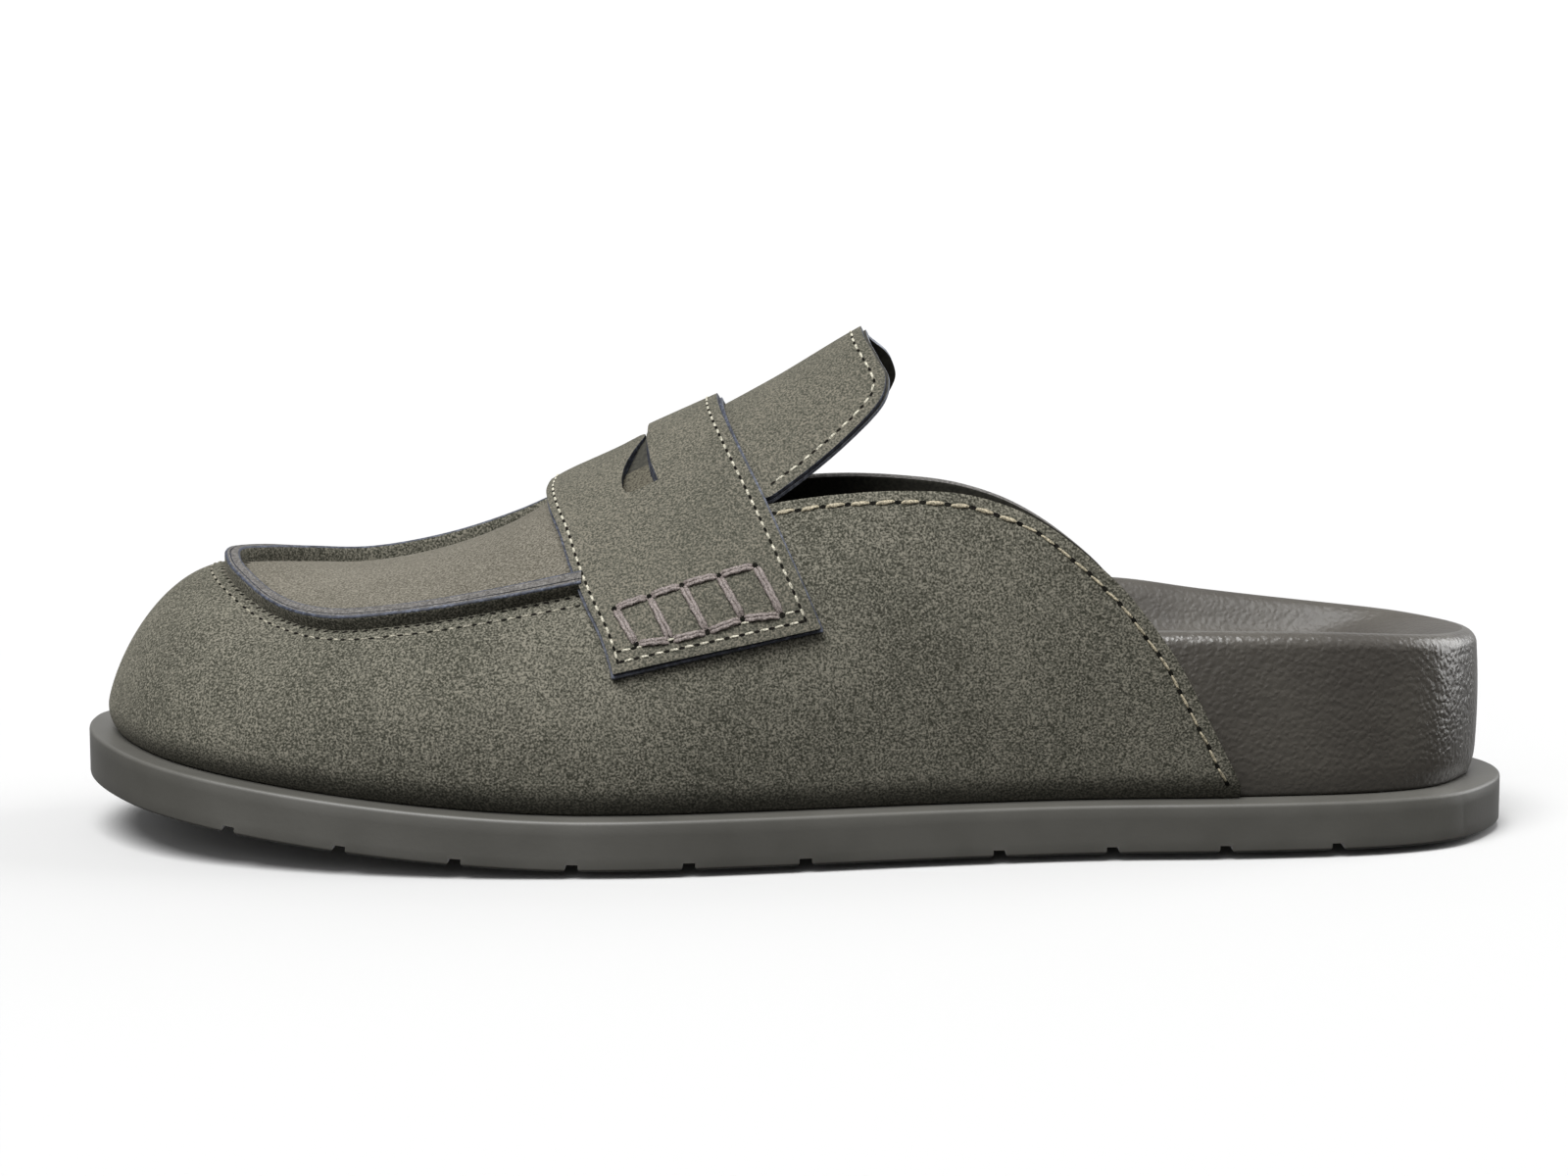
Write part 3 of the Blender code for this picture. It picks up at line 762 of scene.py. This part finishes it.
def make_upper(outer, apron, inner, edge_finish):
    """Vamp, quarters and apron: one wall of leather over the last, lined inside."""
    columns, rows = 240, 72
    wall = 46

    def place(side):
        def at(along, across):
            share = upper_share(along)
            end = collar_up(side, share)
            cut = section(side, turn(share))
            bend_at = min(cut.shoulder_up, end * 0.62) if end < 1 else cut.shoulder_up
            row = round(across * rows)
            if row <= wall:
                up = bend_at * (row / wall) ** 1.25
            else:
                up = mix(bend_at, end, (row - wall) / (rows - wall))
            return tucked(cut, up, VAMP_TUCK, VAMP_TUCK_HEIGHT)
        return at

    def zone(along, across):
        return 1 if across > wall / rows and upper_share(along) > APRON_BACK else 0

    bm = gather([drape(columns, rows, place(side), zone) for side in SIDES])
    # Painted shade: low is 1 at the foot of the upper and fades out a few millimetres above the sole; the
    # nubuck darkens its colour by it
    low = bm.verts.layers.float.new("low")
    for vert in bm.verts:
        above = vert.co.z - SOLE_THICKNESS - floor_rise(vert.co.x)
        vert[low] = 1 - ease(0, PAINTED_SHADE_HEIGHT, above)
    made = add_piece("upper_shell", bm, [outer, apron, inner, inner, edge_finish, edge_finish], "upper")
    give_wall(made, LEATHER, -1, 0.5 * MM, layers=2, even=False)
    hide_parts("upper")
    return made


def seam_up(side, angle):
    """Share of the last's line where the seam runs, drawn back a little at the toe."""
    cut = section(side, angle)
    return cut.shoulder_up + SEAM_BACK * ease(0.80, 0.99, share_at(angle)) / cut.lengths[-1]


def make_seam(ply, painted, core):
    """Moccasin seam: vamp and apron edges stand up side by side, glued, inked and trimmed."""
    columns = 420
    hidden = 1.2 * MM / LENGTH
    ends = {side: turn(strap_meets_seam(side) - hidden) for side in SIDES}
    profile = [(-0.9, -0.45), (-0.98, 0.1), (-1.0, 0.6), (-0.99, 0.86), (-0.90, 0.97), (-0.72, 1.0),
               (-0.46, 1.0), (-0.42, 0.86), (-0.37, 0.86), (-0.33, 1.0), (0.2, 1.0), (0.66, 1.0),
               (0.88, 0.97), (0.99, 0.86), (1.0, 0.4), (1.0, -0.2), (0.9, -0.75)]
    rows = len(profile) - 1

    def at(along, across):
        sweep = abs(2 * along - 1)
        side = LATERAL if along <= 0.5 else MEDIAL
        angle = mix(math.pi, ends[side], sweep)
        cut = section(side, angle)
        out, lift = profile[round(across * rows)]
        up = seam_up(side, angle) + SEAM_WIDTH / 2 / cut.lengths[-1] * out
        return skin(side, share_at(angle), up, SEAM_SEAT + SEAM_HEIGHT * lift)

    def zone(along, across):
        strip = int(across * rows)
        return (0, 0, 0, 1, 1, 2, 1, 1, 1, 2, 2, 1, 1, 0, 0, 0)[strip]

    bm = gather([drape(columns, rows, at, zone)])
    made = add_piece("seam_ridge", bm, [ply, painted, core], "moccasin_seam")
    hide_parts("moccasin_seam")
    return made


# Strap and tongue


def strap_place(side, across, up):
    """Share of the length and share of the last's line for a place on the strap."""
    share = mix(STRAP_EDGES.read("front", up), STRAP_EDGES.read("back", up), across)
    foot = section(side, turn(share)).up_at(STRAP_FOOT.read("height", across) * COLLAR_HEIGHT)
    return share, mix(foot, 1, up)


def slot_block(finish):
    """Block with the penny slot's outline, narrow at its waist and wide at both ends."""
    x = LENGTH * (0.5 - SLOT_PLACE)
    middle = LAST.read("crown", SLOT_PLACE) * BALL_WIDTH - SLOT_SHIFT
    low, high = INSTEP_HEIGHT * 0.5, INSTEP_HEIGHT * 1.3
    half = [(x + across * SLOT_WIDTH, along * SLOT_LENGTH / 2) for along, across in SLOT]
    outline = [(px, middle + py, low) for px, py in half]
    outline += [(px, middle - py, low) for px, py in half[-2:0:-1]]
    return cutting_block("slot_block", [outline], (0, 0, high - low), finish)


def ply(name, bm, finishes, slot, thickness, offset, block=None):
    """One layer of leather with its edges rounded and inked."""
    made = add_piece(name, bm, finishes, slot)
    return give_wall(made, thickness, offset, 0.28 * MM, block)


def make_strap(outer, inner, edge_finish, core, under):
    """Penny strap: the strap leather on a second, slightly larger layer, and the leather below."""
    def at(lift, margin, side, across, up):
        across = mix(margin, 1 - margin, across)
        up = mix(margin * 0.5, 1, up)
        share, height = strap_place(side, across, up)
        front = 1 - ease(0, 0.45, across)
        crown = ease(0.35, 0.85, up)
        behind = (SLOT_PLACE - share) * LENGTH
        lip = LIP_RISE * ease(LIP_START, LIP_FULL, behind) * max(0, 1 - (behind - LIP_START) / LIP_RUN)
        rise = STRAP_FRONT_RISE * front * crown + lip * ease(0.62, 0.94, up)
        return skin(side, share, height, SEAT + lift + rise)

    half = STRAP_THICKNESS / 2
    layers = []
    for name, lift, margin, finishes in (
        ("strap", half + PLY_GAP, 0, [outer, inner, edge_finish]),
        ("strap_backing", 0, -0.013, [edge_finish, inner, core]),
    ):
        bm = gather([drape(60, 110, partial(at, lift, margin, side)) for side in SIDES])
        layers.append(ply(name, bm, finishes, "penny_strap", half - PLY_GAP, 1, slot_block(edge_finish)))
    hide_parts("penny_strap")
    bm = gather([drape(20, 40, partial(under_slot, side), lambda along, across: int(across > 0.68))
                 for side in SIDES])
    # The underlay's nubuck is darkened as painted shade under the strap
    patch = add_piece("slot_underlay", bm, [under, inner, inner, inner, core, core], "penny_strap")
    give_wall(patch, 0.8 * MM, -1, 0.2 * MM, layers=2)
    return layers[0]


def under_slot(side, along, across):
    """Leather that shows through the penny slot, just under the strap and closer to it on top."""
    share = SLOT_PLACE + mix(-0.026, 0.030, along)
    lift = mix(UNDERLAY_LOW, UNDERLAY_HIGH, ease(0.68, 0.9, across))
    return skin(side, share, mix(0.50, 1, across), lift)


def make_tongue(outer, inner, edge_finish, core):
    """Tongue: its leather and its lining, which ends a little further back, inked along the edge."""
    half = TONGUE_THICKNESS / 2
    layers = []
    for name, lift, past, finishes in (
        ("tongue_flap", 0, 1, [outer, inner, edge_finish]),
        ("tongue_lining", -half - PLY_GAP, 1 + 0.5 / 38, [inner, inner, core]),
    ):
        def at(side, across, part):
            return tongue_place(side, across * past, part, lift)

        bm = gather([drape(48, 80, partial(at, side)) for side in SIDES])
        layers.append(ply(name, bm, finishes, "tongue", half - PLY_GAP, -1))
    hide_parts("tongue")
    return layers[0]


# Footbed and sole


def around(along):
    """Side and angle once around the outline, from the heel along the lateral side."""
    if along <= 0.5:
        return LATERAL, math.pi * 2 * along
    return MEDIAL, math.pi * 2 * (1 - along)


def span(columns, steps, rim):
    """Strips from the lateral to the medial rim."""
    def at(along, across):
        return rim(LATERAL, math.pi * along).lerp(rim(MEDIAL, math.pi * along), across)
    return drape(columns, steps, at)


def make_sole(finish):
    """Outsole: moulded in one, flat under the foot, with a toe spring and soft edges."""
    columns = 360
    profile = []
    for turned in range(0, 91, 18):
        a = math.radians(turned)
        profile.append((SOLE_FOOT_ROUND * (1 - math.sin(a)), SOLE_FOOT_ROUND * (1 - math.cos(a))))
    for part in (0.25, 0.5, 0.75):
        profile.append((0, mix(SOLE_FOOT_ROUND, SOLE_THICKNESS - SOLE_TOP_ROUND, part)))
    for turned in range(0, 91, 30):
        a = math.radians(turned)
        height = SOLE_THICKNESS - SOLE_TOP_ROUND * (1 - math.sin(a))
        profile.append((SOLE_TOP_ROUND * (1 - math.cos(a)), height))
    rows = len(profile) - 1

    def at(along, across):
        side, angle = around(along)
        inset, height = profile[round(across * rows)]
        plan = edge(side, angle, inset)
        return Vector((plan.x, plan.y, height + floor_rise(plan.x)))

    def rim(across, side, angle):
        return at(angle / math.tau if side == LATERAL else 1 - angle / math.tau, across)

    bm = gather([drape(columns, rows, at),
                 span(columns // 2, 1, partial(rim, 0)),
                 span(columns // 2, 1, partial(rim, 1))])
    made = add_piece("sole", bm, [finish], "outsole")
    bars = groove_bars(finish)
    add_cut(made, bars)
    settle(made, bars, 40)
    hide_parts("outsole")
    return made


def groove_bars(finish):
    """Bars with the grooves' section, flared at the mouth, square to the sole's underside."""
    forefoot = LENGTH * (0.5 - FOREFOOT_GROOVE)
    heel = LENGTH * (0.5 - HEEL_GROOVE)
    half = [(-GROOVE_MOUTH, -GROOVE_DEPTH), (-GROOVE_MOUTH * 0.5, 0),
            (-GROOVE_WIDTH * 0.5, GROOVE_DEPTH * 0.4), (-GROOVE_WIDTH * 0.5, GROOVE_DEPTH)]
    profile = half + [(-across, down) for across, down in reversed(half)]
    step = 1 * MM
    outlines = []
    for x in [forefoot - GROOVE_PITCH * i for i in range(6)] + [heel - GROOVE_PITCH * i for i in range(4)]:
        slope = math.atan2(floor_rise(x + step) - floor_rise(x - step), 2 * step)
        outlines.append([
            (x + across * math.cos(slope) - down * math.sin(slope), -BALL_WIDTH,
             floor_rise(x) + across * math.sin(slope) + down * math.cos(slope))
            for across, down in profile
        ])
    return cutting_block("groove_bars", outlines, (0, 2 * BALL_WIDTH, 0), finish)


def make_footbed(wrap, insole):
    """Footbed: a foam block wrapped in coated leather, with a rounded rim and a cupped heel."""
    columns = 360
    wall_rows = 12
    rim_rows = 8
    rows = wall_rows + rim_rows
    cup_rows = 64

    def rim_height(side, angle, x):
        return FOOTBED.read(SIDES[side], share_at(angle)) * HEEL_RIM_HEIGHT + floor_rise(x)

    def wall(side, angle, row):
        cut = section(side, angle)
        low = SOLE_THICKNESS + SEAT + floor_rise(cut.foot.x)
        high = rim_height(side, angle, cut.foot.x) - RIM_ROUND
        up = cut.up_at(mix(low, high, min(1, row / wall_rows) ** 1.5))
        point = tucked(cut, up, BLOCK_TUCK, BLOCK_TUCK_HEIGHT)
        inward = cut.inward.to_3d()
        point += inward * (LEATHER + mix(SEAT, TOE_GAP, ease(0.65, 0.95, share_at(angle))))
        if row > wall_rows:
            turned = math.pi / 2 * (row - wall_rows) / rim_rows
            point += inward * RIM_ROUND * (1 - math.cos(turned))
            point += Vector((0, 0, RIM_ROUND * math.sin(turned)))
        return point

    back = wall(LATERAL, 0, rows).x
    front = wall(LATERAL, math.pi, rows).x

    def cup(along, across):
        angle = math.pi * along
        first, last = wall(LATERAL, angle, rows), wall(MEDIAL, angle, rows)
        point = first.lerp(last, across)
        floor = FOOTBED.read("floor", share_of(point.x)) * HEEL_RIM_HEIGHT + floor_rise(point.x)
        deep = 1 - abs(2 * across - 1) ** 2.6
        deep *= ease(0, 0.11, min(across, 1 - across))
        deep *= ease(0, CUP_RUN, back - point.x) * ease(0, CUP_RUN, point.x - front)
        return Vector((point.x, point.y, mix(point.z, floor, deep)))

    bm = gather([drape(columns, rows, lambda along, across: wall(*around(along), round(across * rows))),
                 drape(columns // 2, cup_rows, cup, lambda along, across: 1),
                 span(columns // 2, 1, lambda side, angle: wall(side, angle, 0))])
    made = add_piece("footbed_wrap", bm, [wrap, insole], "footbed", 80)
    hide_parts("footbed")
    return made


# Sewing

# Length of a stitch shape before it is stretched to its row
STITCH = 2 * MM


def surface_of(made):
    """A way to find the nearest spot on a finished piece and its normal, for laying thread on."""
    bm = bmesh.new()
    bm.from_mesh(made.data)
    tree = BVHTree.FromBMesh(bm)
    bm.free()
    return lambda point: tree.find_nearest(point)[:2]


def even_points(points, pitch):
    """Points an even pitch apart along a line, its ends included."""
    reach = [0]
    for a, b in zip(points, points[1:]):
        reach.append(reach[-1] + (b - a).length)
    count = max(1, round(reach[-1] / pitch))
    made = []
    at = 0
    for i in range(count + 1):
        goal = reach[-1] * i / count
        while at < len(points) - 2 and reach[at + 1] < goal:
            at += 1
        made.append(points[at].lerp(points[at + 1], (goal - reach[at]) / (reach[at + 1] - reach[at])))
    return made


def set_in(points, inset, lay, toward):
    """Move a line that follows an edge inward over the surface."""
    line = even_points(points, 1.2 * MM)
    made = []
    for i, point in enumerate(line):
        ahead = line[min(i + 1, len(line) - 1)] - line[max(i - 1, 0)]
        normal = lay(point)[1]
        inward = normal.cross(ahead).normalized()
        if inward.dot(toward - point) < 0:
            inward = -inward
        made.append(lay(point + inward * inset)[0])
    return made


def stitch_shape(length, radius, rings, sides, plies, twist):
    """One stitch: a short plied thread whose ends dive into the needle holes."""
    def at(along, round_part):
        off = 2 * along - 1
        angle = math.tau * round_part
        lobe = 1 + 0.16 * math.cos(plies * angle + twist * off)
        size = radius * lobe * (1 - 0.30 * abs(off) ** 6)
        sink = radius * (0.45 - 1.5 * abs(off) ** 5)
        return Vector((off * length / 2, size * math.cos(angle), size * 0.85 * math.sin(angle) + sink))

    bm = drape(rings, sides, at)
    weld(bm, 0.001 * MM)
    bmesh.ops.recalc_face_normals(bm, faces=bm.faces)
    return mesh_of("stitch", bm)


def frame_at(middle, ahead, normal, stretch=1):
    """Matrix that lays a shape along a direction on a surface."""
    along = (ahead - normal * ahead.dot(normal)).normalized()
    beside = normal.cross(along)
    turned = Matrix((along * stretch, beside, normal)).transposed()
    return Matrix.Translation(middle) @ turned.to_4x4()


def put(bm, mesh, matrix):
    """Add a copy of a small shape."""
    before = len(bm.verts)
    bm.from_mesh(mesh)
    bm.verts.ensure_lookup_table()
    bmesh.ops.transform(bm, matrix=matrix, verts=bm.verts[before:])


def hole_shape(radius, long=1):
    """A flat needle hole, drawn out along the row."""
    bm = bmesh.new()
    bmesh.ops.create_circle(bm, cap_ends=True, segments=8, radius=radius)
    bmesh.ops.scale(bm, vec=(long, 1, 1), verts=bm.verts)
    return mesh_of("hole", bm)


def sew(threads, holes, lay, line, pitch, shape, hole, cover=0.80, slant=0.0):
    """Sew a row: a stitch between each two needle holes."""
    spots = [lay(point) for point in even_points(line, pitch)]
    for (first, _), (last, _) in zip(spots, spots[1:]):
        middle, normal = lay((first + last) / 2)
        ahead = last - first
        ahead = ahead + normal.cross(ahead) * (slant + rng.uniform(-0.05, 0.05))
        stretch = ahead.length * cover / STITCH * rng.uniform(0.95, 1.04)
        put(threads, shape, frame_at(middle, ahead, normal, stretch))
    for i, (spot, normal) in enumerate(spots):
        ahead = spots[min(i + 1, len(spots) - 1)][0] - spots[max(i - 1, 0)][0]
        put(holes, hole, frame_at(spot + normal * 0.04 * MM, ahead, normal))


# Holes of the ladder's upper and lower rail, as shares across and up the strap
LADDER = [
    [(0.115, 0.180), (0.298, 0.187), (0.468, 0.193), (0.652, 0.191), (0.827, 0.193)],
    [(0.148, 0.064), (0.313, 0.052), (0.490, 0.052), (0.668, 0.065), (0.850, 0.052)],
]
rng = random.Random(7)


def both_sides(line):
    """The lateral line out and the medial line back, joined where they meet."""
    return line(LATERAL) + list(reversed(line(MEDIAL)))[1:]


def sew_shoe(upper, strap, tongue, fine, shaded_thread, waxed, laced, hole_finish):
    """All visible rows of stitches and the hand-sewn ladder on the strap's ends."""
    skin_of = {"upper": surface_of(upper), "strap": surface_of(strap), "tongue": surface_of(tongue)}
    small = stitch_shape(STITCH, 0.21 * MM, 5, 6, 2, 1.2)
    thick = stitch_shape(STITCH, 0.42 * MM, 7, 8, 2, 3.6)
    thin = stitch_shape(STITCH, 0.26 * MM, 7, 8, 2, 3.6)
    pin = hole_shape(0.30 * MM, 2.0)
    wide_pin = hole_shape(0.46 * MM, 1.7)
    fine_rows, vamp_rows, collar_rows, holes = bmesh.new(), bmesh.new(), bmesh.new(), bmesh.new()
    outside = 1.5 * MM

    def collar(side):
        shares = spread(UPPER_BACK + 0.002, COLLAR_FRONT + 0.012, 90)
        top = [skin(side, share, collar_up(side, share), outside) for share in shares]
        return set_in(top, 2.6 * MM, skin_of["upper"], skin(side, 0.45, 0.3))

    for side in SIDES:
        row = even_points(collar(side), 1 * MM)
        change = round(len(row) * 0.56)
        sew(collar_rows, holes, skin_of["upper"], row[:change], 4.2 * MM, thin, wide_pin, 0.86, 0.05)
        sew(collar_rows, holes, skin_of["upper"], row[change - 1:], 4.8 * MM, thick, wide_pin, 0.82, 0.08)

    def beside_ridge(side, off):
        first = turn(strap_meets_seam(side))
        line = []
        for angle in spread(first, math.pi, 120):
            cut = section(side, angle)
            edge_off = SEAM_WIDTH / 2 * (1 if off > 0 else -1) + off
            line.append(cut.point(seam_up(side, angle) + edge_off / cut.lengths[-1]))
        return line

    vamp_row = both_sides(lambda side: beside_ridge(side, -3.0 * MM))
    sew(vamp_rows, holes, skin_of["upper"], vamp_row, 2.9 * MM, small, pin, 0.60)
    for off in (-0.55 * MM, 1.0 * MM):
        for point in even_points(both_sides(lambda side: beside_ridge(side, off)), 2.1 * MM):
            spot, normal = skin_of["upper"](point)
            put(holes, pin, frame_at(spot + normal * 0.05 * MM, Vector((1, 0.01, 0)), normal))

    def strap_point(side, across, up):
        share, height = strap_place(side, across, up)
        return skin(side, share, height, SEAT + STRAP_THICKNESS + 0.5 * MM)

    def strap_row(front, inset):
        def line(side):
            made = []
            for up in spread(0.03, 1, 60):
                width = (strap_point(side, 1, up) - strap_point(side, 0, up)).length
                made.append(strap_point(side, inset / width if front else 1 - inset / width, up))
            return made
        return both_sides(line)

    for front, inset in ((True, 1.5 * MM), (False, 2.2 * MM)):
        sew(fine_rows, holes, skin_of["strap"], strap_row(front, inset), 2.9 * MM, small, pin, 0.58)
    for side in SIDES:
        for inset in (2.1 * MM, 4.3 * MM):
            line = []
            for across in spread(0.055, 0.925, 30):
                rise = (strap_point(side, across, 0.1) - strap_point(side, across, 0)).length / 0.1
                line.append(strap_point(side, across, inset / rise))
            sew(fine_rows, holes, skin_of["strap"], line, 2.9 * MM, small, pin, 0.66)

    def tongue_edge(side):
        return [tongue_place(side, 1, part) for part in spread(0.02, 1, 80)]

    row = set_in(both_sides(tongue_edge), 2.4 * MM, skin_of["tongue"], tongue_place(LATERAL, 0.2, 1))
    sew(fine_rows, holes, skin_of["tongue"], row, 3.4 * MM, small, pin, 0.60)
    sew_ladder(skin_of["strap"], strap_point, laced, holes)
    add_piece("fine_stitches", fine_rows, [fine], "penny_strap")
    # The vamp row's thread carries painted shade
    add_piece("vamp_stitches", vamp_rows, [shaded_thread], "upper")
    add_piece("collar_stitches", collar_rows, [waxed], "upper")
    add_piece("needle_holes", holes, [hole_finish], "upper")


def sew_ladder(lay, strap_point, finish, holes):
    """Hand-sewn ladder in doubled thread: four stitches along each rail and five rungs."""
    rail = stitch_shape(STITCH, 0.45 * MM, 14, 8, 2, 9.0)
    hole = hole_shape(0.62 * MM)
    laces = bmesh.new()
    for side in SIDES:
        spots = []
        for row in (0, 1):
            spots.append([lay(strap_point(side, *LADDER[row][i])) for i in range(5)])
        pairs = [(spots[row][i], spots[row][i + 1]) for row in (0, 1) for i in range(4)]
        pairs += [(spots[0][i], spots[1][i]) for i in range(5)]
        for (first, _), (last, _) in pairs:
            middle, normal = lay((first + last) / 2)
            ahead = last - first
            beside = normal.cross(ahead).normalized()
            for off in (-1, 1):
                place = middle + beside * 0.33 * MM * off + normal * 0.12 * MM
                turned = ahead + beside * ahead.length * rng.uniform(-0.03, 0.03)
                put(laces, rail, frame_at(place, turned, normal, ahead.length * 0.92 / STITCH))
        for spot, normal in spots[0] + spots[1]:
            put(holes, hole, frame_at(spot + normal * 0.05 * MM, Vector((1, 0.01, 0)), normal))
    add_piece("ladder_stitches", laces, [finish], "penny_strap")


def tongue_place(side, across, part, lift=1 * MM):
    """Place on the tongue, from its hidden front edge to its free back edge."""
    low = collar_up(side, COLLAR_FRONT)
    up = mix(low, 1, mix(0.04, 1, part))
    ahead = math.sqrt(1 - ((1 - up) / (1 - low)) ** 2)
    front = mix(COLLAR_FRONT, THROAT_FRONT, ahead) - 2 * SEAT / LENGTH
    back = TONGUE_EDGE.read("back", part)
    if side == MEDIAL:
        bulge = math.sin(math.pi * min(1, part / 0.98)) ** 2 * ease(0.2, 0.8, part)
        back -= TONGUE_MEDIAL_RUN / LENGTH * bulge
    return skin(side, mix(front, back, across), up, lift)


# Studio

# Sun lamps: where each stands, its strength and the angle in degrees that it fills
LAMPS = [
    ("key", (-0.20, -0.42, 0.95), 1.9, 40),
    ("front_fill", (-0.45, -0.9, 0.40), 0.42, 60),
    ("heel_side", (0.90, 0.30, 0.35), 1.00, 50),
]
# The room's brightness below and above the shoe, and what is added behind it
ROOM_BELOW = 0.03
ROOM_ABOVE = 0.32
ROOM_BEHIND = 0.50
PAPER = "#aaaaaa"
PAPER_DROP = 1.5 * MM


def stand(name, data, place, target):
    """Put a lamp or the camera at a place, facing a target."""
    made = put_in_scene(name, data)
    made.location = place
    made.rotation_euler = (Vector(target) - made.location).to_track_quat("-Z", "Y").to_euler()
    return made


def make_studio():
    """White paper dish, a soft key from high in front, a weak fill from the front left, a light from the
    heel's side, and a dim room that is brighter above and behind the shoe."""
    bm = bmesh.new()
    start = bm.verts.new((0.45, 0, 0))
    rim = bm.verts.new((0, 0, 0))
    bm.edges.new((rim, start))
    for run, lift in ((0.15, 0.008), (0.15, 0.018), (0.15, 0.028), (4.0, 0.85)):
        raised = bmesh.ops.extrude_vert_indiv(bm, verts=[start])
        start = raised["verts"][0]
        bmesh.ops.translate(bm, verts=[start], vec=(run, 0, lift))
    bmesh.ops.spin(bm, geom=[*bm.verts, *bm.edges], cent=(0, 0, 0), axis=(0, 0, 1), angle=math.tau, steps=96,
                   use_merge=True)
    weld(bm)
    bmesh.ops.recalc_face_normals(bm, faces=bm.faces)
    if sum(face.normal.z for face in bm.faces) < 0:
        bmesh.ops.reverse_faces(bm, faces=bm.faces)
    dish = put_in_scene("paper_dish", mesh_of("paper_dish", bm))
    dish.data.shade_smooth()
    dish.data.transform(Matrix.Translation((0, 0, -PAPER_DROP)))
    paper, _, shader, _ = new_finish("white_paper", 1.0, 0.0)
    shader.inputs["Base Color"].default_value = linear(PAPER)
    dish.data.materials.append(paper)
    dish.visible_diffuse = False
    dish.visible_glossy = False
    world = bpy.data.worlds.new("studio")
    world.use_nodes = True
    tree = world.node_tree
    facing = add_node(tree, "SeparateXYZ", None, {"Vector": add_node(tree, "TexCoord").outputs["Generated"]})
    parts = []
    for axis, start, full, low, high in (
        ("Z", -0.05, 0.55, ROOM_BELOW, ROOM_ABOVE),
        ("Y", 0.25, 0.95, 0.0, ROOM_BEHIND),
    ):
        reach = {"From Min": start, "From Max": full, "To Min": low, "To Max": high}
        parts.append(add_node(tree, "MapRange", {**reach, "interpolation_type": "SMOOTHSTEP"},
                              {"Value": facing.outputs[axis]}))
    light = add_node(tree, "Math", {"operation": "ADD"}, dict(enumerate(parts)))
    sky = tree.nodes["Background"]
    sky.inputs["Color"].default_value = linear("#ffffff")
    tree.links.new(light.outputs["Value"], sky.inputs["Strength"])
    bpy.context.scene.world = world
    for name, place, strength, spread in LAMPS:
        lamp = bpy.data.lights.new(name, "SUN")
        lamp.energy = strength * math.pi
        lamp.angle = math.radians(spread)
        stand(name, lamp, place, (0, 0, 0.03))
    lens = bpy.data.cameras.new("camera")
    lens.lens = 73.6
    lens.clip_start = 0.05
    bpy.context.scene.camera = stand("camera", lens, (0, -0.650, 0.130), (-2.3 * MM, 0, 47.2 * MM))
    view = bpy.context.scene.view_settings
    view.view_transform = "Standard"
    view.look = "None"


def main():
    outer = nubuck("nubuck", "#2a2a23", "#48473f", "#69665c")
    apron = nubuck("brushed_nubuck", "#3e3b33", "#535048", "#69655c", 0.12 * MM)
    smooth = nubuck("smooth_nubuck", "#33332c", "#4a4941", "#635f55", 0.14 * MM)
    # Darker nubuck for the leather under the penny slot: painted shade inside the slot
    shaded = nubuck("nubuck_painted_shade", "#2a2822", "#413e36", "#545146", 0.12 * MM)
    inner = pigskin()
    core = leather_core()
    ink = edge_ink("edge_ink", "#1c1e25", "#323641", "#555a68")
    pale_ink = edge_ink("rubbed_edge_ink", "#42454f", "#666a74", "#898c94")
    upper = make_upper(outer, apron, inner, core)
    make_seam(outer, ink, core)
    strap = make_strap(smooth, inner, ink, pale_ink, shaded)
    tongue = make_tongue(smooth, inner, ink, pale_ink)
    fine = thread("fine_thread", "#6d6a5d", "#b9b5a5")
    # The vamp row's thread is darker than the others: painted shade where it lies below the moccasin seam
    shaded_thread = thread("thread_painted_shade", "#4a473d", "#8f8b7c")
    waxed = thread("waxed_thread", "#5a5546", "#a09781")
    laced = thread("laced_thread", "#453e3b", "#79706c")
    sew_shoe(upper, strap, tongue, fine, shaded_thread, waxed, laced, needle_hole())
    make_footbed(pebbled_leather("pebbled_wrap", 0.33, 0.5), pebbled_leather("pebbled_insole", 0.50, 0.32))
    make_sole(moulded_rubber())
    make_studio()


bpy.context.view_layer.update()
main()
